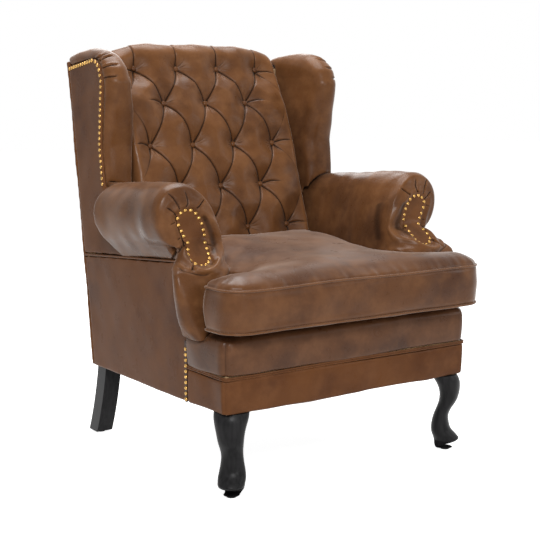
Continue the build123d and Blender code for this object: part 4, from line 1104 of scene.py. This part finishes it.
# Flat leather over boards: a little soft at its edges.
PANEL_SWELL = 0.0008


def panel(name, source, seed):
    obj = soften(name, (source,), 0.004, 5)
    raise_by(obj, two_waves(get_points(obj), seed, 0.17, 0.05, PANEL_SWELL, PANEL_SWELL / 4))
    rub_and_shade(obj, 40, 0.006)
    dress(obj, panel_hide, replaced=(source,))


def border(name, source, seed, low, high, corner, swell, finish):
    """Leather drawn over the front rail and round its corners, fuller between its upper and lower edge."""
    obj = soften(name, (source,), 0.004, 5)
    points, normals = get_points(obj), get_normals(obj)
    middle = np.sin(pi * np.clip((points[:, 2] - low) / (high - low), 0, 1)) ** 0.7
    upright = step(0.9, 0.5, np.abs(normals[:, 2]))
    points += normals * (swell * middle * upright * (normals[:, 1] < 0.5))[:, None]
    out, back = np.abs(points[:, 0]) - (HALF_BASE - corner), corner - (points[:, 1] - FRONT)
    inside = (out > 0) & (back > 0)
    pull = np.ones(len(points))
    pull[inside] = np.maximum(out, back)[inside] / np.hypot(out, back)[inside]
    points[:, 0] = np.where(inside, np.sign(points[:, 0]) * (HALF_BASE - corner + out * pull), points[:, 0])
    points[:, 1] = np.where(inside, FRONT + corner - back * pull, points[:, 1])
    set_points(obj, points)
    refine(obj)
    points, normals = get_points(obj), get_normals(obj)
    ripple = two_waves(points, seed, 0.16, 0.055, 0.0013, 0.0004)
    raise_by(obj, ripple * (normals[:, 1] < 0.5))
    rub_and_shade(obj, 16, 0.004)
    dress(obj, finish, replaced=(source,))


BAND_CORNER, ROLL_CORNER = 0.014, 0.026
panel("back_cover", "outside_back_panel", 61)
for side in SIDES:
    panel(f"arm_cover_{side}", f"outside_arm_panel_{side}", 63)
    panel(f"wing_cover_{side}", f"outside_wing_panel_{side}", 66)
border("border_band", "front_border_band", 71, LEG_TOP, PIPING, BAND_CORNER, 0.003, panel_hide)
border("border_roll", "front_border_roll", 73, PIPING, DECK, ROLL_CORNER, 0.004, seat_front_hide)


# Piping along the border and below the arm rolls.
BORDER_CORD = 0.0021
ARM_CORD, ARM_CORD_X, ARM_CORD_FRONT = 0.0028, 0.3603, 0.5204


def border_path():
    """The border's piping: down one side, round the front and back along the other side."""
    turns = np.linspace(0, pi / 2, 7)
    depths = at(BORDER_WRAP) - 0.004 * np.arange(36)
    side = [(-HALF_BASE, y) for y in depths]
    side += [(BAND_CORNER * (1 - cos(a)) - HALF_BASE, at(BAND_CORNER * (1 - sin(a)))) for a in turns]
    front = [(x, FRONT) for x in np.linspace(side[-1][0], -side[-1][0], 160)[1:-1]]
    return np.array(side + front + [(-x, y) for x, y in reversed(side)])


def border_piping():
    """Two thin cords side by side."""
    line = border_path()
    level = PIPING + waves(line, 0.3, 75) * 0.0006
    for name, lift in (("lower", -BORDER_CORD), ("upper", BORDER_CORD)):
        cord = tube(f"border_piping_{name}", np.column_stack([line, level + lift]), BORDER_CORD)
        rub_evenly(cord, 0.4)
        dress(cord, panel_hide, replaced=("front_border_welt",))


def arm_piping(side, sign):
    low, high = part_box(f"arm_welt_{side}")
    start = np.array([sign * ARM_CORD_X, at(BORDER_WRAP), ARM_CORD_FRONT])
    end = np.array([sign * ARM_CORD_X, high[1] - 0.001, low[2] + 0.003])
    path = start + np.linspace(0, 1, 130)[:, None] * (end - start)
    cord = tube(f"arm_piping_{side}", path, ARM_CORD)
    rub_evenly(cord, 0.1)
    dress(cord, panel_hide, replaced=(f"arm_welt_{side}",))


border_piping()
for side, sign in SIDES.items():
    arm_piping(side, sign)


# Nails: domed heads, on the photograph's loop round the facings and elsewhere on the feet of the CAD's nails.
NAIL_RADIUS, NAIL_HEIGHT = 0.0047, 0.0031


def nails(side, sign):
    head = dome(NAIL_RADIUS, NAIL_HEIGHT)
    upright = LOOP[:, 2] > BEND
    normals = np.where(upright[:, None], (0, -1.0, 0), (0, -1.0, FOOT_SLOPE))
    seats = [(spot * (-sign, 1, 1), normal) for spot, normal in zip(LOOP, normals)]
    heads = scatter(f"facing_nails_{side}_heads", head, seats)
    dress(heads, brass, replaced=(f"facing_nails_{side}",))
    for kind in ("wing_nails", "strip_nails"):
        heads = scatter(f"{kind}_{side}_heads", head, nail_seats(nodes[f"{kind}_{side}"]))
        dress(heads, brass, replaced=(f"{kind}_{side}",))


for side, sign in SIDES.items():
    nails(side, sign)


# Front legs: the frame's shape, a little fuller and duller at the foot.
SOLE, DULL_FOOT, SOLE_CENTRE, SOLE_GROWTH = 0.034, 0.026, 0.02, 0.3


def front_leg(side):
    obj = linked(f"leg_{side}", nodes[f"front_leg_{side}"].data.copy())
    points = get_points(obj)
    middle = points[points[:, 2] < SOLE_CENTRE, :2].mean(0)
    grow = 1 + SOLE_GROWTH * np.clip(1 - points[:, 2] / SOLE, 0, 1)
    points[:, :2] = middle + (points[:, :2] - middle) * np.where(points[:, 2:] < SOLE, grow[:, None], 1)
    set_points(obj, points)
    dress(obj, black_wood, replaced=(f"front_leg_{side}",))
    obj.data.materials.append(foot_wood)
    for polygon in obj.data.polygons:
        polygon.material_index = int(polygon.center[2] < DULL_FOOT)


for side in SIDES:
    front_leg(side)


# Nodes whose own shape is right.
def finish_nodes():
    for side in SIDES:
        dress(nodes[f"side_strip_{side}"], dark_hide)
        dress(nodes[f"rear_leg_{side}"], black_wood)
        for kind in ("back_post", "side_seat_rail", "arm_rail", "arm_stump", "wing_frame"):
            dress(nodes[f"{kind}_{side}"], bare_wood)
    for name in ("front_seat_rail", "rear_seat_rail", "crest_rail", "lower_back_rail", "corner_blocks"):
        dress(nodes[name], bare_wood)
    for name in ("back_webbing", "seat_webbing"):
        dress(nodes[name], elastic)
    # The deck under the cushion is dressed in the darker hide, painted shade.
    dress(nodes["seat_deck"], deck_hide)
    dress(nodes["dust_cover"], dust_cloth)
    dress(nodes["leg_glides"], nylon)
    dress(nodes["leg_bolts"], zinc)


finish_nodes()


# Studio: a white floor, soft lamps and the photograph's camera.
FLOOR_GLOW = 0.88
FLOOR_TONE = 0.8
AMBIENT = 0.2
SENSOR, FRAME_PIXELS = 36, 540

# Name, place, target, width and height, and power of each lamp.
LAMPS = [
    ("key", (-2.0, -2.6, 2.4), (0, 0, 0.55), (0.8, 0.8), 92),
    ("fill", (2.6, -2.4, 1.8), (0, 0, 0.5), (1.2, 1.2), 18),
    ("front", (-0.5, -3.4, 1.3), (0, 0, 0.7), (0.9, 0.9), 18),
    ("top", (0.2, 0.7, 3.0), (0, 0, 0.5), (1.8, 1.8), 85),
    ("rear", (1.2, 3.0, 2.0), (0, 0, 0.6), (2.0, 1.6), 26),
]


def area_lamp(name, place, target, size, power):
    data = bpy.data.lights.new(name, "AREA")
    data.shape = "RECTANGLE"
    data.size, data.size_y = size
    data.energy = power
    lamp = linked(name, data)
    lamp.location = place
    x, y, z = np.array(target, float) - np.array(place, float)
    lamp.rotation_euler = (pi / 2 + np.arctan2(z, np.hypot(x, y)), 0, np.arctan2(-x, y))


def background_rays(tree):
    """1 for the rays that see the studio's white: the camera's, and those in glass and on gloss."""
    rays = tree.nodes.new("ShaderNodeLightPath")
    total = rays.outputs["Is Camera Ray"]
    for name in ("Is Glossy Ray", "Is Transmission Ray"):
        total = node(tree, "ShaderNodeMath", {0: total, 1: rays.outputs[name]}, operation="ADD").outputs[0]
    return total


def white_floor():
    bpy.ops.mesh.primitive_plane_add(size=30, location=(0, 0, 0))
    floor = bpy.context.object
    floor.name = "floor"
    made = bpy.data.materials.new("white_floor")
    tree = empty_tree(made)
    level = node(tree, "ShaderNodeMath", {0: background_rays(tree)}, operation="MULTIPLY")
    level.inputs[1].default_value = FLOOR_GLOW
    glow = node(tree, "ShaderNodeEmission", {1: level.outputs[0]})
    matt = node(tree, "ShaderNodeBsdfDiffuse")
    matt.inputs[0].default_value = (FLOOR_TONE, FLOOR_TONE, FLOOR_TONE, 1)
    both = node(tree, "ShaderNodeAddShader", {0: glow.outputs[0], 1: matt.outputs[0]})
    node(tree, "ShaderNodeOutputMaterial", {0: both.outputs[0]})
    floor.data.materials.append(made)


def studio_world():
    world = bpy.data.worlds.new("studio")
    bpy.context.scene.world = world
    tree = empty_tree(world)
    white = node(tree, "ShaderNodeBackground")
    white.inputs[0].default_value = (1, 1, 1, 1)
    soft = node(tree, "ShaderNodeBackground")
    soft.inputs[0].default_value = (AMBIENT, AMBIENT, AMBIENT, 1)
    links = {0: background_rays(tree), 1: soft.outputs[0], 2: white.outputs[0]}
    choice = node(tree, "ShaderNodeMixShader", links)
    node(tree, "ShaderNodeOutputWorld", {0: choice.outputs[0]})


def photo_camera():
    data = bpy.data.cameras.new("camera")
    data.lens = FOCUS * SENSOR / FRAME_PIXELS
    data.sensor_width = SENSOR
    camera = linked("camera", data)
    camera.location = EYE
    camera.rotation_euler = (pi / 2 - TILT, 0, -TURN)
    bpy.context.scene.camera = camera


for lamp in LAMPS:
    area_lamp(*lamp)
white_floor()
studio_world()
photo_camera()
bpy.context.scene.view_settings.view_transform = "Standard"
